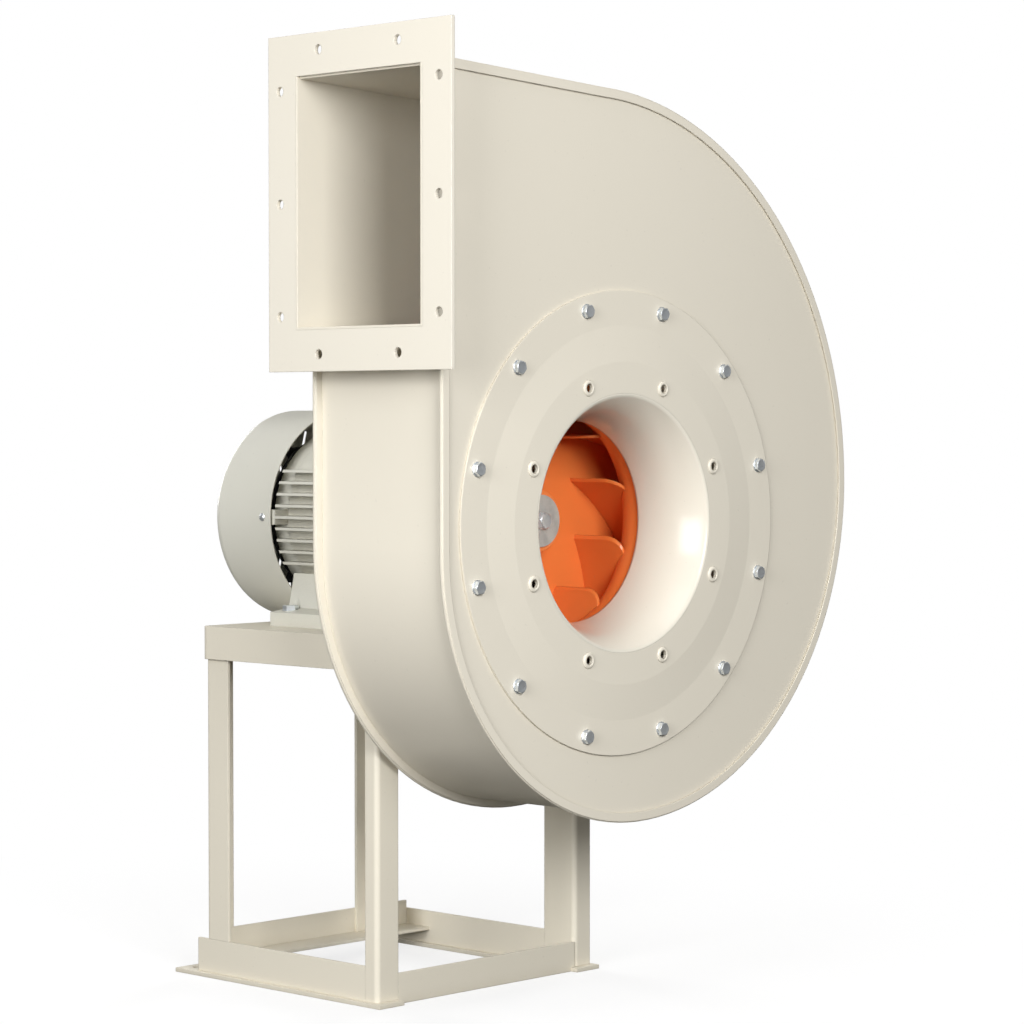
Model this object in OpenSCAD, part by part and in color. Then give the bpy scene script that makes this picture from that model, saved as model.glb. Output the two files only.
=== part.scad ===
// Centrifugal blower: a spiral sheet casing with a round inlet and a rectangular outlet,
// an overhung impeller on the motor shaft, and a foot-mounted motor on a folded pedestal.
// Lengths are in millimetres. The shaft runs along Y, the inlet faces -Y, the outlet faces -X,
// and the floor is the plane Z = 0.

/* [Casing] */
// Height of the shaft above the floor
shaft_height = 560; // [540:1:600]
// Clear width inside the casing, along the shaft
casing_width = 194; // [180:1:200]
// Thickness of the casing sheet
sheet_t = 3; // [2:0.5:4]
// Radius of the seam on the first arc of the spiral
spiral_r = 318; // [312:1:326]
// Side of the base square that the spiral grows by
spiral_step = 67; // [60:1:72]
// Shift of the base square away from the outlet's far side, across
spiral_shift_x = -8.5; // [-12:0.5:-4]
// Shift of the base square, upwards
spiral_shift_z = 7.5; // [4:0.5:10]
// Rise of the casing roof towards the outlet, in degrees
roof_rise = 3; // [1:0.5:4]
// How far the roof lies below the top of the scroll's last arc
roof_sink = 0.3; // [0.2:0.05:0.5]
// How far the seam stands proud of the scroll sheet
seam_proud = 10; // [8:0.5:12]
// How far the rolled seam stands out from the side plate's face
seam_rise = 3; // [2:0.5:4]
// Width of the seam band on the side plates
seam_w = 11; // [9:0.5:13]
// Radius of the opening in the front side plate
plate_hole_r = 232; // [230:1:236]
// Radius of the opening in the back side plate
back_hole_r = 54; // [50:1:56]

/* [Outlet] */
// Distance from the shaft to the back of the outlet flange
outlet_reach = 315; // [305:1:330]
// Height of the outlet's centre above the shaft
outlet_rise = 357; // [352:1:360]
// Height of the outlet opening
outlet_h = 280; // [270:1:284]
// Height of the outlet flange
flange_h = 372; // [360:1:376]
// Width of the outlet flange
flange_w = 288; // [280:1:296]
// Thickness of the outlet flange
flange_t = 5; // [4:0.5:8]
// Distance of the flange holes from the flange's edges
flange_edge = 19; // [16:0.5:21]
// Pitch of the flange holes
flange_pitch = 125; // [115:1:130]
// Radius of the flange holes
flange_hole_r = 5.5; // [4.5:0.25:7]
// Radius of the rounded nose of the cutoff tongue
nose_r = 15; // [12:1:18]
// Distance of the nose's centre from the shaft, across
nose_reach = 185; // [180:1:190]
// Slope of the tongue's tail, in degrees below the sheet
tail_angle = 60; // [50:1:65]

/* [Inlet] */
// Outer radius of the inlet disc
disc_r = 265; // [260:1:268]
// Thickness of the inlet disc
disc_t = 3; // [2:0.5:4]
// Radius of the ring of disc bolts
disc_bolt_ring = 248; // [246:0.5:251]
// Outer radius of the conical step in the disc
step_outer_r = 225; // [220:1:230]
// Inner radius of the conical step
step_inner_r = 184; // [180:1:190]
// Height of the conical step
step_h = 3; // [2:0.5:5]
// Outer radius of the inlet lip
lip_r = 148; // [144:1:152]
// Radius of the ring of duct holes
duct_hole_ring = 166; // [160:1:170]
// Radius of the duct holes
duct_hole_r = 5; // [4:0.25:6]
// Radius of the inlet cone's throat
throat_r = 117; // [112:1:120]
// Length of the inlet cone, along the shaft
cone_len = 86; // [82:1:90]
// Thickness of the inlet cone
cone_t = 2; // [1.5:0.5:3]

/* [Impeller] */
// Outer radius of the impeller
impeller_r = 225; // [215:1:226]
// Thickness of the front shroud
shroud_t = 3; // [2:0.5:4]
// Inner radius of the shroud's eye
eye_r = 121.5; // [121:0.5:124]
// Length of the eye's straight collar
eye_len = 16; // [12:1:20]
// Inner bend radius of the shroud
bend_r = 40; // [34:1:44]
// Angle of the shroud's bend, in degrees
bend_angle = 75; // [70:1:80]
// Distance of the back disc's front face behind the casing's middle
back_disc_y = 75; // [70:1:80]
// Thickness of the back disc
back_disc_t = 4; // [3:0.5:5]
// Thickness of a blade
blade_t = 3; // [2:0.5:4]
// Radius where the blades start on the back disc
blade_root_r = 112; // [108:1:114]
// Distance behind the casing's middle at which the blades' leading edge starts to curve outwards
blade_nose_y = 25; // [16:1:30]
// Angle along the shroud's bend at which the leading edge meets it, in degrees
blade_nose_angle = 18; // [14:1:24]
// Blade angle at the root, in degrees
blade_in_angle = 37; // [34:1:40]
// Blade angle at the rim, in degrees
blade_out_angle = 42; // [38:1:46]
// Radius of the hub's barrel
hub_r = 36; // [32:1:40]
// Radius of the hub's flange
hub_flange_r = 60; // [52:1:64]
// Thickness of the hub's flange
hub_flange_t = 8; // [6:1:10]
// Distance of the hub's front end behind the casing's middle
hub_front_y = 30; // [28:1:36]
// Length of the hub
hub_len = 62; // [56:1:64]
// Radius of the hub's washer
washer_r = 30.5; // [26:0.5:32]
// Thickness of the hub's washer
washer_t = 4; // [3:0.5:6]

/* [Motor] */
// Height of the motor's shaft above its feet
motor_height = 132; // [130:1:134]
// Distance of the shaft's shoulder behind the casing's middle
shoulder_y = 114; // [112:0.5:118]
// Radius of the shaft extension
shaft_r = 19; // [18:0.5:19.5]
// Radius of the shaft at its bearings
shaft_seat_r = 20; // [20:0.5:21]
// Radius of the shaft in the rotor core
shaft_core_r = 25; // [23:0.5:27]
// Radius of the shaft at the cooling fan
shaft_tail_r = 15; // [12:0.5:18]
// Outer radius of the bearings
bearing_r = 42; // [40:0.5:44]
// Width of the bearings
bearing_w = 20; // [16:1:22]
// Length of the finned frame
frame_len = 200; // [190:1:204]
// Radius of the frame's barrel
frame_r = 104; // [102:0.5:106]
// Thickness of the frame's barrel
frame_wall = 9; // [7:0.5:11]
// Radius over the cooling fins
fin_r = 126; // [122:1:127]
// Thickness of a cooling fin
fin_t = 3.5; // [2.5:0.5:4.5]
// Pitch of the cooling fins
fin_pitch = 14; // [12:0.5:15]
// Radius of the end shields
shield_r = 112; // [110:1:116]
// Thickness of the drive-end shield
front_shield_t = 38; // [36:1:42]
// Thickness of the rear end shield
rear_shield_t = 24; // [22:1:26]
// Length of the stator and rotor cores
core_len = 110; // [96:2:116]
// Inner radius of the stator core
stator_bore_r = 62; // [58:1:66]
// Radial air gap between rotor and stator
air_gap = 0.6; // [0.4:0.1:1]
// Length of a winding head
winding_len = 22; // [18:1:26]
// Outer radius of the fan cowl
cowl_r = 130; // [128.5:0.5:131]
// Length of the fan cowl
cowl_len = 109; // [104:1:114]
// Thickness of the fan cowl
cowl_t = 1.5; // [1:0.5:2.5]
// Radius of the cowl's rear edge
cowl_edge_r = 18; // [14:1:24]
// Radius of the cooling fan
fan_r = 98; // [90:1:104]
// Width of the cooling fan's vanes
fan_w = 32; // [26:1:36]
// Distance between the motor's foot holes, across
foot_spacing_x = 216; // [210:1:220]
// Distance between the motor's foot holes, along the shaft
foot_spacing_y = 140; // [136:1:142]
// Distance from the shaft's shoulder to the front foot holes
foot_hole_start = 89; // [86:1:92]
// Distance over the motor's feet
foot_over_x = 260; // [256:1:264]
// Thickness of the motor's feet
foot_t = 17; // [14:1:20]
// Distance from a foot hole to the foot's end
foot_end = 13; // [12:1:16]
// Width and length of the terminal box
terminal_w = 96; // [88:1:100]
// Height of the terminal box's body
terminal_h = 40; // [34:1:44]
// Thickness of the terminal box's lid
terminal_lid_t = 10; // [7:1:14]

/* [Pedestal] */
// Distance of the tray's front face behind the casing's middle
tray_front_y = 111; // [109:0.5:114]
// Width of the tray
tray_w = 372; // [366:1:378]
// Length of the tray, along the shaft
tray_len = 308; // [304:1:316]
// Height of the tray's skirt
tray_h = 40; // [36:1:46]
// Thickness of the tray and of the angle sections
angle_t = 4; // [3:0.5:5]
// Corner radius of the tray
tray_corner_r = 10; // [8:1:12]
// Outer bend radius of the posts
post_bend_r = 6; // [5:0.5:7]
// Flange width of the near left and both rear posts, rear side
post_w = 40; // [36:1:44]
// Front flange of the near left post
near_front_w = 34; // [30:1:38]
// Side flange of the near left post
near_side_w = 20; // [18:1:26]
// Front flange of the right post
right_front_w = 28; // [26:1:30]
// Side flange of the right post
right_side_w = 51; // [48:1:54]
// Rear flange of the rear right post
rear_right_w = 35; // [30:1:38]
// Clearance between the rear right post and the motor's foot nuts
nut_play = 1; // [0.5:0.5:3]
// Height of the side rails over the floor
rail_h = 46; // [42:1:50]
// Height of the front cross rail over the floor
front_rail_h = 36; // [32:1:40]
// Flange of the front cross rail
front_rail_w = 30; // [26:1:34]
// Underside of the rear cross rail over the floor
rear_rail_z = 22; // [18:1:26]
// Height of the rear cross rail
rear_rail_h = 34; // [30:1:36]
// Flange of the rear cross rail
rear_rail_w = 46; // [46:1:50]
// Width of the sole plates
sole_w = 40; // [38:1:44]
// Thickness of the sole plates
sole_t = 5; // [4:0.5:7]
// Distance of the sole plates' middle from the shaft, across
sole_x = 168; // [166:0.5:170]
// How far a sole plate reaches in front of the posts
sole_front = 10; // [6:1:12]
// How far a sole plate reaches behind the tray
sole_back = 48; // [44:1:52]
// Distance of the front anchor holes behind the posts' front
anchor_front = 30; // [26:1:34]
// Distance of the rear anchor holes from the sole plate's end
anchor_edge = 17; // [15:1:20]
// Radius of the anchor holes
anchor_r = 6; // [5:0.5:7]

/* [Fasteners] */
// Thread radius of the disc bolts and the seal plate screws
small_bolt_r = 4; // [3:0.5:4.5]
// Thread radius of the foot bolts, casing bolts and hub bolt
large_bolt_r = 5; // [4:0.25:5.5]
// Clearance of a bolt in its hole, on the radius
bolt_play = 0.5; // [0.3:0.1:0.8]
// Thread radius of the small screws on the motor
screw_r = 2.5; // [2:0.5:3]

/* [Hidden] */
$fn = 96;

// Counts and shares.
disc_bolt_count = 12;
duct_hole_count = 8;
blade_count = 10;
bend_chords = 6;
blade_nose_chords = 6;
nose_chords = 12;
seal_screw_count = 6;
ball_count = 9;
fan_vane_count = 9;
cowl_slot_count = 24;
hex_sides = 6;
half_share = 0.5;
hex_head_share = 2.0;
head_height_share = 1.3;
nut_height_share = 1.6;
washer_height_share = 0.3;
washer_radius_share = 2.1;
screw_head_share = 1.9;
ball_share = 0.28;
ring_share = 0.24;
key_width_share = 0.526;
key_height_share = 0.421;
key_seat_share = 0.625;
key_inset_share = 0.125;
key_length_share = 0.75;
web_share = 0.75;
slot_start_share = 0.4;
slot_width_share = 0.25;
gland_share = 0.25;
gland_bore_share = 0.6;
gland_body_share = 1.2;
gland_hex_share = 1.5;
tray_bolt_share = 0.54;
earth_hole_share = 0.25;
seal_plate_share = 1.5;
seam_lip_share = 0.4;
fan_root_share = 1.5;

// Angles at which the rings of bolts and holes start.
blade_start = 13;
disc_bolt_start = 180 / disc_bolt_count;
duct_hole_start = 180 / duct_hole_count;

// One overrun for every cut, and the clearances.
cut = outlet_h / 140;
body_gap = shaft_height / 1400;
seat_gap = shaft_height / 5600;
shaft_play = shaft_height / 1120;

// The casing's planes and radii.
inner_y = casing_width / 2;
outer_y = inner_y + sheet_t;
half_step = spiral_step / 2;
c1 = [spiral_shift_x + half_step, spiral_shift_z - half_step];
c2 = [spiral_shift_x + half_step, spiral_shift_z + half_step];
c3 = [spiral_shift_x - half_step, spiral_shift_z + half_step];
r1 = spiral_r;
r2 = spiral_r + spiral_step;
r3 = spiral_r + spiral_step * 2;
wall_x = c1[0] - r1;
outlet_low = outlet_rise - outlet_h / 2;
outlet_high = outlet_rise + outlet_h / 2;
duct_floor = outlet_low + sheet_t;
duct_end = outlet_reach + flange_t;
skirt_low = outlet_low - seam_proud * 3;
skirt_high = outlet_low - seam_proud;
seam_lip = seam_rise * seam_lip_share;
wrap_x = wall_x + seam_proud;
wrap_inner_x = wrap_x + sheet_t;

// The inlet.
disc_back_y = -outer_y;
disc_front_y = disc_back_y - disc_t;
lip_back_y = disc_back_y - step_h;
lip_front_y = disc_front_y - step_h;
cone_end_y = lip_front_y + cone_len;
bell_h = lip_r - cone_t - throat_r;
bell_r = (bell_h * bell_h + cone_len * cone_len) / (bell_h * 2);

// The impeller.
eye_front_y = cone_end_y - eye_len * half_share;
eye_back_y = eye_front_y + eye_len;
bend_centre_r = eye_r + shroud_t + bend_r;
blade_tip_r = impeller_r - blade_t;
root_slope = blade_root_r * cos(blade_in_angle);
tip_slope = blade_tip_r * cos(blade_out_angle);
blade_square = blade_tip_r * blade_tip_r - blade_root_r * blade_root_r;
blade_curve_r = blade_square / ((tip_slope - root_slope) * 2);
blade_offset = sqrt(blade_root_r * blade_root_r + blade_curve_r * blade_curve_r
                    - root_slope * blade_curve_r * 2);
hub_end_y = hub_front_y + hub_len;
shaft_tip_y = hub_front_y + washer_t * half_share;
key_w = shaft_r * key_width_share;
key_h = shaft_r * key_height_share;
key_low = shaft_r - key_h * key_seat_share;
key_start_y = hub_front_y + hub_len * key_inset_share;
key_len = hub_len * key_length_share;

// The motor, from front to rear.
frame_start_y = shoulder_y + front_shield_t;
frame_end_y = frame_start_y + frame_len;
front_bearing_y = frame_start_y - bearing_w - front_shield_t / 8;
rear_bearing_y = frame_end_y - bearing_w / 4;
shield_end_y = frame_end_y + rear_shield_t;
core_start_y = (frame_start_y + frame_end_y - core_len) / 2;
cowl_start_y = shield_end_y - rear_shield_t * 5 / 6;
cowl_end_y = cowl_start_y + cowl_len;
fan_start_y = shield_end_y + rear_shield_t * half_share;
shaft_end_y = fan_start_y + fan_w;
frame_bore_r = frame_r - frame_wall;
rotor_r = stator_bore_r - air_gap;
foot_y = [shoulder_y + foot_hole_start, shoulder_y + foot_hole_start + foot_spacing_y];
foot_x = foot_spacing_x / 2;
rear_right_x = foot_x - large_bolt_r * hex_head_share - nut_play;
foot_top = foot_t - motor_height;
terminal_y = core_start_y + core_len * half_share;
terminal_seat = (frame_r + fin_r) / 2 - fin_t;
lug_w = frame_wall * 2;

// The pedestal.
tray_top = shaft_height - motor_height;
tray_under = tray_top - angle_t;
tray_low = tray_top - tray_h;
tray_x = tray_w / 2;
tray_back_y = tray_front_y + tray_len;
post_x = tray_x - angle_t;
post_front_y = tray_front_y + angle_t;
post_back_y = tray_back_y - angle_t;
right_post_x = post_x - right_front_w;
sole_start_y = post_front_y - sole_front;
sole_end_y = tray_back_y + sole_back;
rail_end_y = tray_back_y + angle_t * 3;
rear_rail_top = rear_rail_z + rear_rail_h;
anchor_y = [post_front_y + anchor_front, sole_end_y - anchor_edge];
base_middle_y = (anchor_y[0] + anchor_y[1]) / 2;
tray_bolt_x = tray_x * tray_bolt_share;
tray_bolt_z = (tray_under + tray_low) / 2;
post_bolt_x = [(near_front_w + post_bend_r) / 2 - post_x, post_x - (right_front_w - post_bend_r) / 2];
post_bolt_z = tray_low - tray_h;

// The fasteners, bearings and terminal box.
disc_bolt_len = disc_t + sheet_t + small_bolt_r * nut_height_share + small_bolt_r / 2;
seal_plate_r = back_hole_r * seal_plate_share;
seal_ring_r = (back_hole_r + seal_plate_r) / 2;
hub_bolt_len = washer_t + hub_len * half_share;
ball_r = (bearing_r - shaft_seat_r) * ball_share;
ball_ring_r = (bearing_r + shaft_seat_r) / 2;
ring_t = (bearing_r - shaft_seat_r) * ring_share;
terminal_z = shaft_height + terminal_seat;
lid_z = terminal_z + terminal_h;
terminal_wall = terminal_w / 24;
gland_r = terminal_h * gland_share;
gland_z = terminal_z + terminal_h / 2;
gland_bore_r = gland_r * gland_bore_share;
gland_len = gland_r * 2;
foot_bolt_len = foot_t + angle_t + large_bolt_r * nut_height_share + large_bolt_r / 2;

// Draws a profile of (x, z) points, measured from the shaft, as a slab from y0 on.
module along_y(y0, depth) {
  translate([0, y0 + depth, shaft_height]) rotate([90, 0, 0]) linear_extrude(depth) children();
}

// Draws a profile of (y, z) points as a slab from x0 on.
module along_x(x0, depth) {
  translate([x0, 0, 0]) rotate([90, 0, 90]) linear_extrude(depth) children();
}

// Turns a profile of (radius, y) points about the shaft.
module turned() {
  translate([0, 0, shaft_height]) rotate([-90, 0, 0]) rotate_extrude() children();
}

// A plain round bar or bore along Y, measured from the shaft.
module bar_y(x, z, y0, depth, r) {
  translate([x, y0, shaft_height + z]) rotate([-90, 0, 0]) cylinder(r = r, h = depth);
}

// A hexagonal bar along Y, measured from the shaft.
module hex_y(x, z, y0, depth, r) {
  translate([x, y0, shaft_height + z]) rotate([-90, 0, 0]) cylinder(r = r, h = depth, $fn = hex_sides);
}

// Repeats a child about the shaft, starting at an angle.
module about_shaft(count, first) {
  for (i = [0 : count - 1])
    translate([0, 0, shaft_height]) rotate([0, -first - i * 360 / count, 0])
      translate([0, 0, -shaft_height]) children();
}

// Shifts everything so that the origin is the middle of the anchor holes.
module placed() {
  translate([0, -base_middle_y, 0]) children();
}

// A quadrant-cut circle of the spiral: the part of a disc between two directions.
module spiral_sector(centre, r, sx, sz) {
  translate(centre) intersection() {
    circle(r);
    translate([sx < 0 ? -r : 0, sz < 0 ? -r : 0]) square([r, r]);
  }
}

// The last arc, whose top stands just above the sloping roof that runs out of it.
module roof_sector(r) {
  translate(c3) intersection() {
    circle(r);
    polygon([[0, 0], [r * 2, 0], [r * 2, r * 2], [-r, r * 2]]);
  }
}

// The filled spiral with its outlet duct, set in from the seam's outline.
module spiral_fill(inset, low, high) {
  roof_r = r3 - inset - roof_sink;
  roof_x = c3[0] + roof_r * sin(roof_rise);
  roof_z = c3[1] + roof_r * cos(roof_rise);
  spiral_sector(c1, r1 - inset, -1, -1);
  spiral_sector(c2, r2 - inset, 1, -1);
  roof_sector(r3 - inset);
  polygon([
    [roof_x, roof_z],
    [-outlet_reach, roof_z + (roof_x + outlet_reach) * tan(roof_rise)],
    [-outlet_reach, high],
    [wall_x + inset, low],
    [wall_x + inset, c1[1]],
    c1,
    c2,
    c3
  ]);
}

// The band that follows the scroll's edge and roof, between two insets.
module seam_band(outer, inner) {
  difference() {
    spiral_fill(outer, skirt_low, skirt_low);
    spiral_fill(inner, skirt_low, skirt_low);
  }
}

// A side plate's outline with the tab that reaches into the flange.
module plate_outline(inset) {
  spiral_fill(inset, skirt_low, skirt_high);
  translate([-duct_end, outlet_low]) square([flange_t, outlet_h]);
}

// One layer of a side plate, counted outwards from the casing's inside.
module plate_layer(side, start, depth) {
  along_y(side * (inner_y + start + depth / 2) - depth / 2, depth) children();
}

// A side plate and the rolled seam around it, whose edge is set in at both faces.
module side_plate(side) {
  plate_layer(side, 0, sheet_t / 2) plate_outline(seam_lip);
  plate_layer(side, sheet_t / 2, sheet_t / 2) plate_outline(0);
  plate_layer(side, sheet_t, seam_rise / 2) seam_band(0, seam_w - seam_lip);
  plate_layer(side, sheet_t + seam_rise / 2, seam_rise / 2) seam_band(seam_lip, seam_w);
}

module casing_bolt_spots() {
  for (side = [-1, 1]) translate([side * tray_bolt_x, 0, tray_bolt_z]) children();
  for (x = post_bolt_x) translate([x, 0, post_bolt_z]) children();
}

module casing_bolt_bore(y0, depth, r) {
  casing_bolt_spots() translate([0, y0, 0]) rotate([-90, 0, 0]) cylinder(r = r, h = depth);
}

module front_side_plate() {
  color("linen") difference() {
    side_plate(-1);
    bar_y(0, 0, -outer_y - cut, sheet_t + cut * 2, plate_hole_r);
    about_shaft(disc_bolt_count, disc_bolt_start)
      bar_y(disc_bolt_ring, 0, -outer_y - cut, sheet_t + cut * 2, small_bolt_r + bolt_play);
  }
}

module back_side_plate() {
  color("linen") difference() {
    side_plate(1);
    bar_y(0, 0, inner_y - cut, sheet_t + cut * 2, back_hole_r);
    about_shaft(seal_screw_count, 0)
      bar_y(seal_ring_r, 0, inner_y - cut, sheet_t + cut * 2, small_bolt_r - bolt_play);
    casing_bolt_bore(inner_y - cut, sheet_t + cut * 2, large_bolt_r + bolt_play);
  }
}

module scroll_wrapper() {
  color("linen") along_y(-inner_y, casing_width) difference() {
    spiral_fill(seam_proud, outlet_low, outlet_low);
    spiral_fill(seam_proud + sheet_t, outlet_low, outlet_low);
  }
}

// One face of the tongue: chords round the nose from the duct floor, then down the tail to the wall.
function nose_point(r, a) = [r * cos(a) - nose_reach, duct_floor - nose_r + r * sin(a)];
function tail_end(r) = let (start = nose_point(r, -tail_angle))
  [wrap_inner_x, start[1] - (start[0] - wrap_inner_x) / tan(tail_angle)];
function tongue_face(r) = concat(
  [[-duct_end, duct_floor - nose_r + r]],
  [for (i = [0 : nose_chords]) nose_point(r, 90 - i * (tail_angle + 90) / nose_chords)],
  [tail_end(r)]
);

// The duct floor, the rounded nose and the tail that runs back to the scroll's wall.
module cutoff_tongue() {
  outer = tongue_face(nose_r);
  inner = tongue_face(nose_r - sheet_t);
  color("linen") along_y(-inner_y, casing_width)
    polygon(concat(outer, [for (i = [len(inner) - 1 : -1 : 0]) inner[i]]));
}

// A rectangle about its middle with rounded corners.
module rounded_rect(w, h, r) {
  square([w, h - r * 2], center = true);
  square([w - r * 2, h], center = true);
  for (x = [-1, 1], y = [-1, 1]) translate([x * (w / 2 - r), y * (h / 2 - r)]) circle(r);
}

module flange_holes_2d() {
  side_y = flange_w / 2 - flange_edge;
  end_z = flange_h / 2 - flange_edge;
  for (s = [-1, 1]) {
    for (k = [-1, 0, 1]) translate([s * side_y, k * flange_pitch]) circle(flange_hole_r);
    for (k = [-1, 1]) translate([k * flange_pitch / 2, s * end_z]) circle(flange_hole_r);
  }
}

module outlet_flange() {
  color("ivory") along_x(-duct_end, flange_t) translate([0, shaft_height + outlet_rise]) difference() {
    square([flange_w, flange_h], center = true);
    square([outer_y * 2, outlet_h], center = true);
    flange_holes_2d();
  }
}

module inlet_disc() {
  color("linen") difference() {
    turned() polygon([
      [disc_r, disc_back_y],
      [disc_r, disc_front_y],
      [step_outer_r, disc_front_y],
      [step_inner_r, lip_front_y],
      [lip_r, lip_front_y],
      [lip_r, lip_back_y],
      [step_inner_r, lip_back_y],
      [step_outer_r, disc_back_y]
    ]);
    about_shaft(disc_bolt_count, disc_bolt_start)
      bar_y(disc_bolt_ring, 0, disc_front_y - cut, disc_t + cut * 2, small_bolt_r + bolt_play);
    about_shaft(duct_hole_count, duct_hole_start)
      bar_y(duct_hole_ring, 0, lip_front_y - cut, disc_t + cut * 2, duct_hole_r);
  }
}

module inlet_cone() {
  color("ivory") turned() intersection() {
    translate([throat_r + bell_r, cone_end_y]) difference() {
      circle(bell_r);
      circle(bell_r - cone_t);
    }
    translate([throat_r - cut, lip_front_y]) square([lip_r - throat_r + cut, cone_len]);
  }
}

// A hexagon-head bolt along Y with its washer: the head's underside stands at y.
module bolt_y(x, z, y, r, length, turn) {
  head_h = r * head_height_share;
  wash_h = r * washer_height_share;
  hex_y(x, z, turn < 0 ? y - wash_h - head_h : y + wash_h, head_h, r * hex_head_share);
  bar_y(x, z, turn < 0 ? y - wash_h : y, wash_h, r * washer_radius_share);
  bar_y(x, z, turn < 0 ? y - cut / 4 : y - length, length + cut / 4, r);
}

module inlet_disc_bolts() {
  color("silver") about_shaft(disc_bolt_count, disc_bolt_start)
    bolt_y(disc_bolt_ring, 0, disc_front_y, small_bolt_r, disc_bolt_len, -1);
}

module inlet_disc_nuts() {
  color("silver") about_shaft(disc_bolt_count, disc_bolt_start) difference() {
    hex_y(disc_bolt_ring, 0, -inner_y, small_bolt_r * nut_height_share, small_bolt_r * hex_head_share);
    bar_y(disc_bolt_ring, 0, -inner_y - cut, small_bolt_r * nut_height_share + cut * 2, small_bolt_r);
  }
}

module shaft_seal_plate() {
  color("gainsboro") difference() {
    bar_y(0, 0, outer_y, sheet_t, seal_plate_r);
    bar_y(0, 0, outer_y - cut, sheet_t + cut * 2, shaft_r + sheet_t / 2);
    about_shaft(seal_screw_count, 0)
      bar_y(seal_ring_r, 0, outer_y - cut, sheet_t + cut * 2, small_bolt_r);
  }
}

module seal_plate_screws() {
  thread_r = small_bolt_r - bolt_play;
  color("silver") about_shaft(seal_screw_count, 0) {
    bar_y(seal_ring_r, 0, inner_y, sheet_t * 2, thread_r);
    hex_y(seal_ring_r, 0, outer_y + sheet_t, thread_r * half_share * 2, thread_r * hex_head_share);
  }
}

// A point of the shroud's bend, at an angle from the collar and a distance from the bend's centre.
function bend_point(angle, r) = [bend_centre_r - r * cos(angle), eye_back_y + r * sin(angle)];

// The shroud's wall as a (radius, y) profile.
module shroud_2d() {
  b = (bend_r + shroud_t) * 2;
  translate([eye_r, eye_front_y]) square([shroud_t, eye_len]);
  translate([bend_centre_r, eye_back_y]) {
    intersection() {
      difference() {
        circle(bend_r + shroud_t);
        circle(bend_r);
      }
      polygon([[0, 0], [-b, 0], [-b, b], [-b / tan(bend_angle), b]]);
    }
  }
  intersection() {
    translate([bend_centre_r, eye_back_y]) rotate(90 - bend_angle) translate([0, bend_r])
      square([impeller_r, shroud_t]);
    square([impeller_r, impeller_r]);
  }
}

// A blade's outline as a (radius, y) profile. Short chords follow the rounded nose and the shroud's bend.
module passage_2d() {
  wall_r = bend_r + shroud_t;
  step = (bend_angle - blade_nose_angle) / bend_chords;
  nose_end = bend_point(blade_nose_angle, wall_r);
  nose_w = nose_end[0] - blade_root_r;
  nose_h = blade_nose_y - nose_end[1];
  bend_end = bend_point(bend_angle, wall_r);
  tip_y = bend_end[1] + (blade_tip_r - bend_end[0]) / tan(bend_angle);
  polygon(concat(
    [[blade_root_r, back_disc_y]],
    [for (i = [0 : blade_nose_chords - 1]) let (turn = i * 90 / blade_nose_chords)
      [blade_root_r + nose_w * (1 - cos(turn)), blade_nose_y - nose_h * sin(turn)]],
    [nose_end],
    [for (i = [0 : bend_chords - 1])
      bend_point(blade_nose_angle + (i + half_share) * step, wall_r / cos(step / 2))],
    [[blade_tip_r, tip_y], [blade_tip_r, back_disc_y]]
  ));
}

module impeller_shroud() {
  color("darkorange") turned() shroud_2d();
}

module blade_2d() {
  intersection() {
    translate([blade_offset, 0]) difference() {
      circle(blade_curve_r + blade_t / 2);
      circle(blade_curve_r - blade_t / 2);
    }
    translate([-impeller_r, 0]) square([impeller_r * 2, impeller_r]);
    circle(impeller_r);
  }
}

module impeller_blades() {
  color("darkorange") about_shaft(blade_count, blade_start) intersection() {
    along_y(eye_front_y, back_disc_y - eye_front_y + cut) blade_2d();
    turned() passage_2d();
  }
}

module impeller_back_disc() {
  color("darkorange") difference() {
    bar_y(0, 0, back_disc_y, back_disc_t, impeller_r);
    bar_y(0, 0, back_disc_y - cut, back_disc_t + cut * 2, hub_r);
  }
}

module impeller_hub() {
  color("darkorange") difference() {
    union() {
      bar_y(0, 0, hub_front_y, hub_len, hub_r);
      bar_y(0, 0, back_disc_y - hub_flange_t, hub_flange_t, hub_flange_r);
    }
    bar_y(0, 0, hub_front_y - cut, hub_len + cut * 2, shaft_r);
    translate([-key_w / 2, key_start_y, shaft_height]) cube([key_w, hub_len, key_low + key_h]);
  }
}

module hub_key() {
  color("gray") translate([-key_w / 2, key_start_y, shaft_height + key_low]) cube([key_w, key_len, key_h]);
}

module hub_washer() {
  color("dimgray") difference() {
    bar_y(0, 0, hub_front_y - washer_t, washer_t, washer_r);
    bar_y(0, 0, hub_front_y - washer_t - cut, washer_t + cut * 2, large_bolt_r);
  }
}

module hub_bolt() {
  color("silver") bolt_y(0, 0, hub_front_y - washer_t, large_bolt_r, hub_bolt_len, -1);
}

// The stepped shaft, from the impeller to the cooling fan.
module motor_shaft() {
  color("silver") difference() {
    union() {
      bar_y(0, 0, shaft_tip_y, shoulder_y - shaft_tip_y, shaft_r);
      bar_y(0, 0, shoulder_y, core_start_y - winding_len - shoulder_y, shaft_seat_r);
      bar_y(0, 0, core_start_y - winding_len, core_len + winding_len * 2, shaft_core_r);
      bar_y(0, 0, core_start_y + core_len + winding_len,
            shield_end_y + cut - core_start_y - core_len - winding_len, shaft_seat_r);
      bar_y(0, 0, shield_end_y + cut, shaft_end_y - shield_end_y - cut, shaft_tail_r);
    }
    bar_y(0, 0, shaft_tip_y - cut, hub_bolt_len, large_bolt_r);
    translate([-key_w / 2, key_start_y, shaft_height + key_low]) cube([key_w, key_len, key_h]);
  }
}

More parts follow.
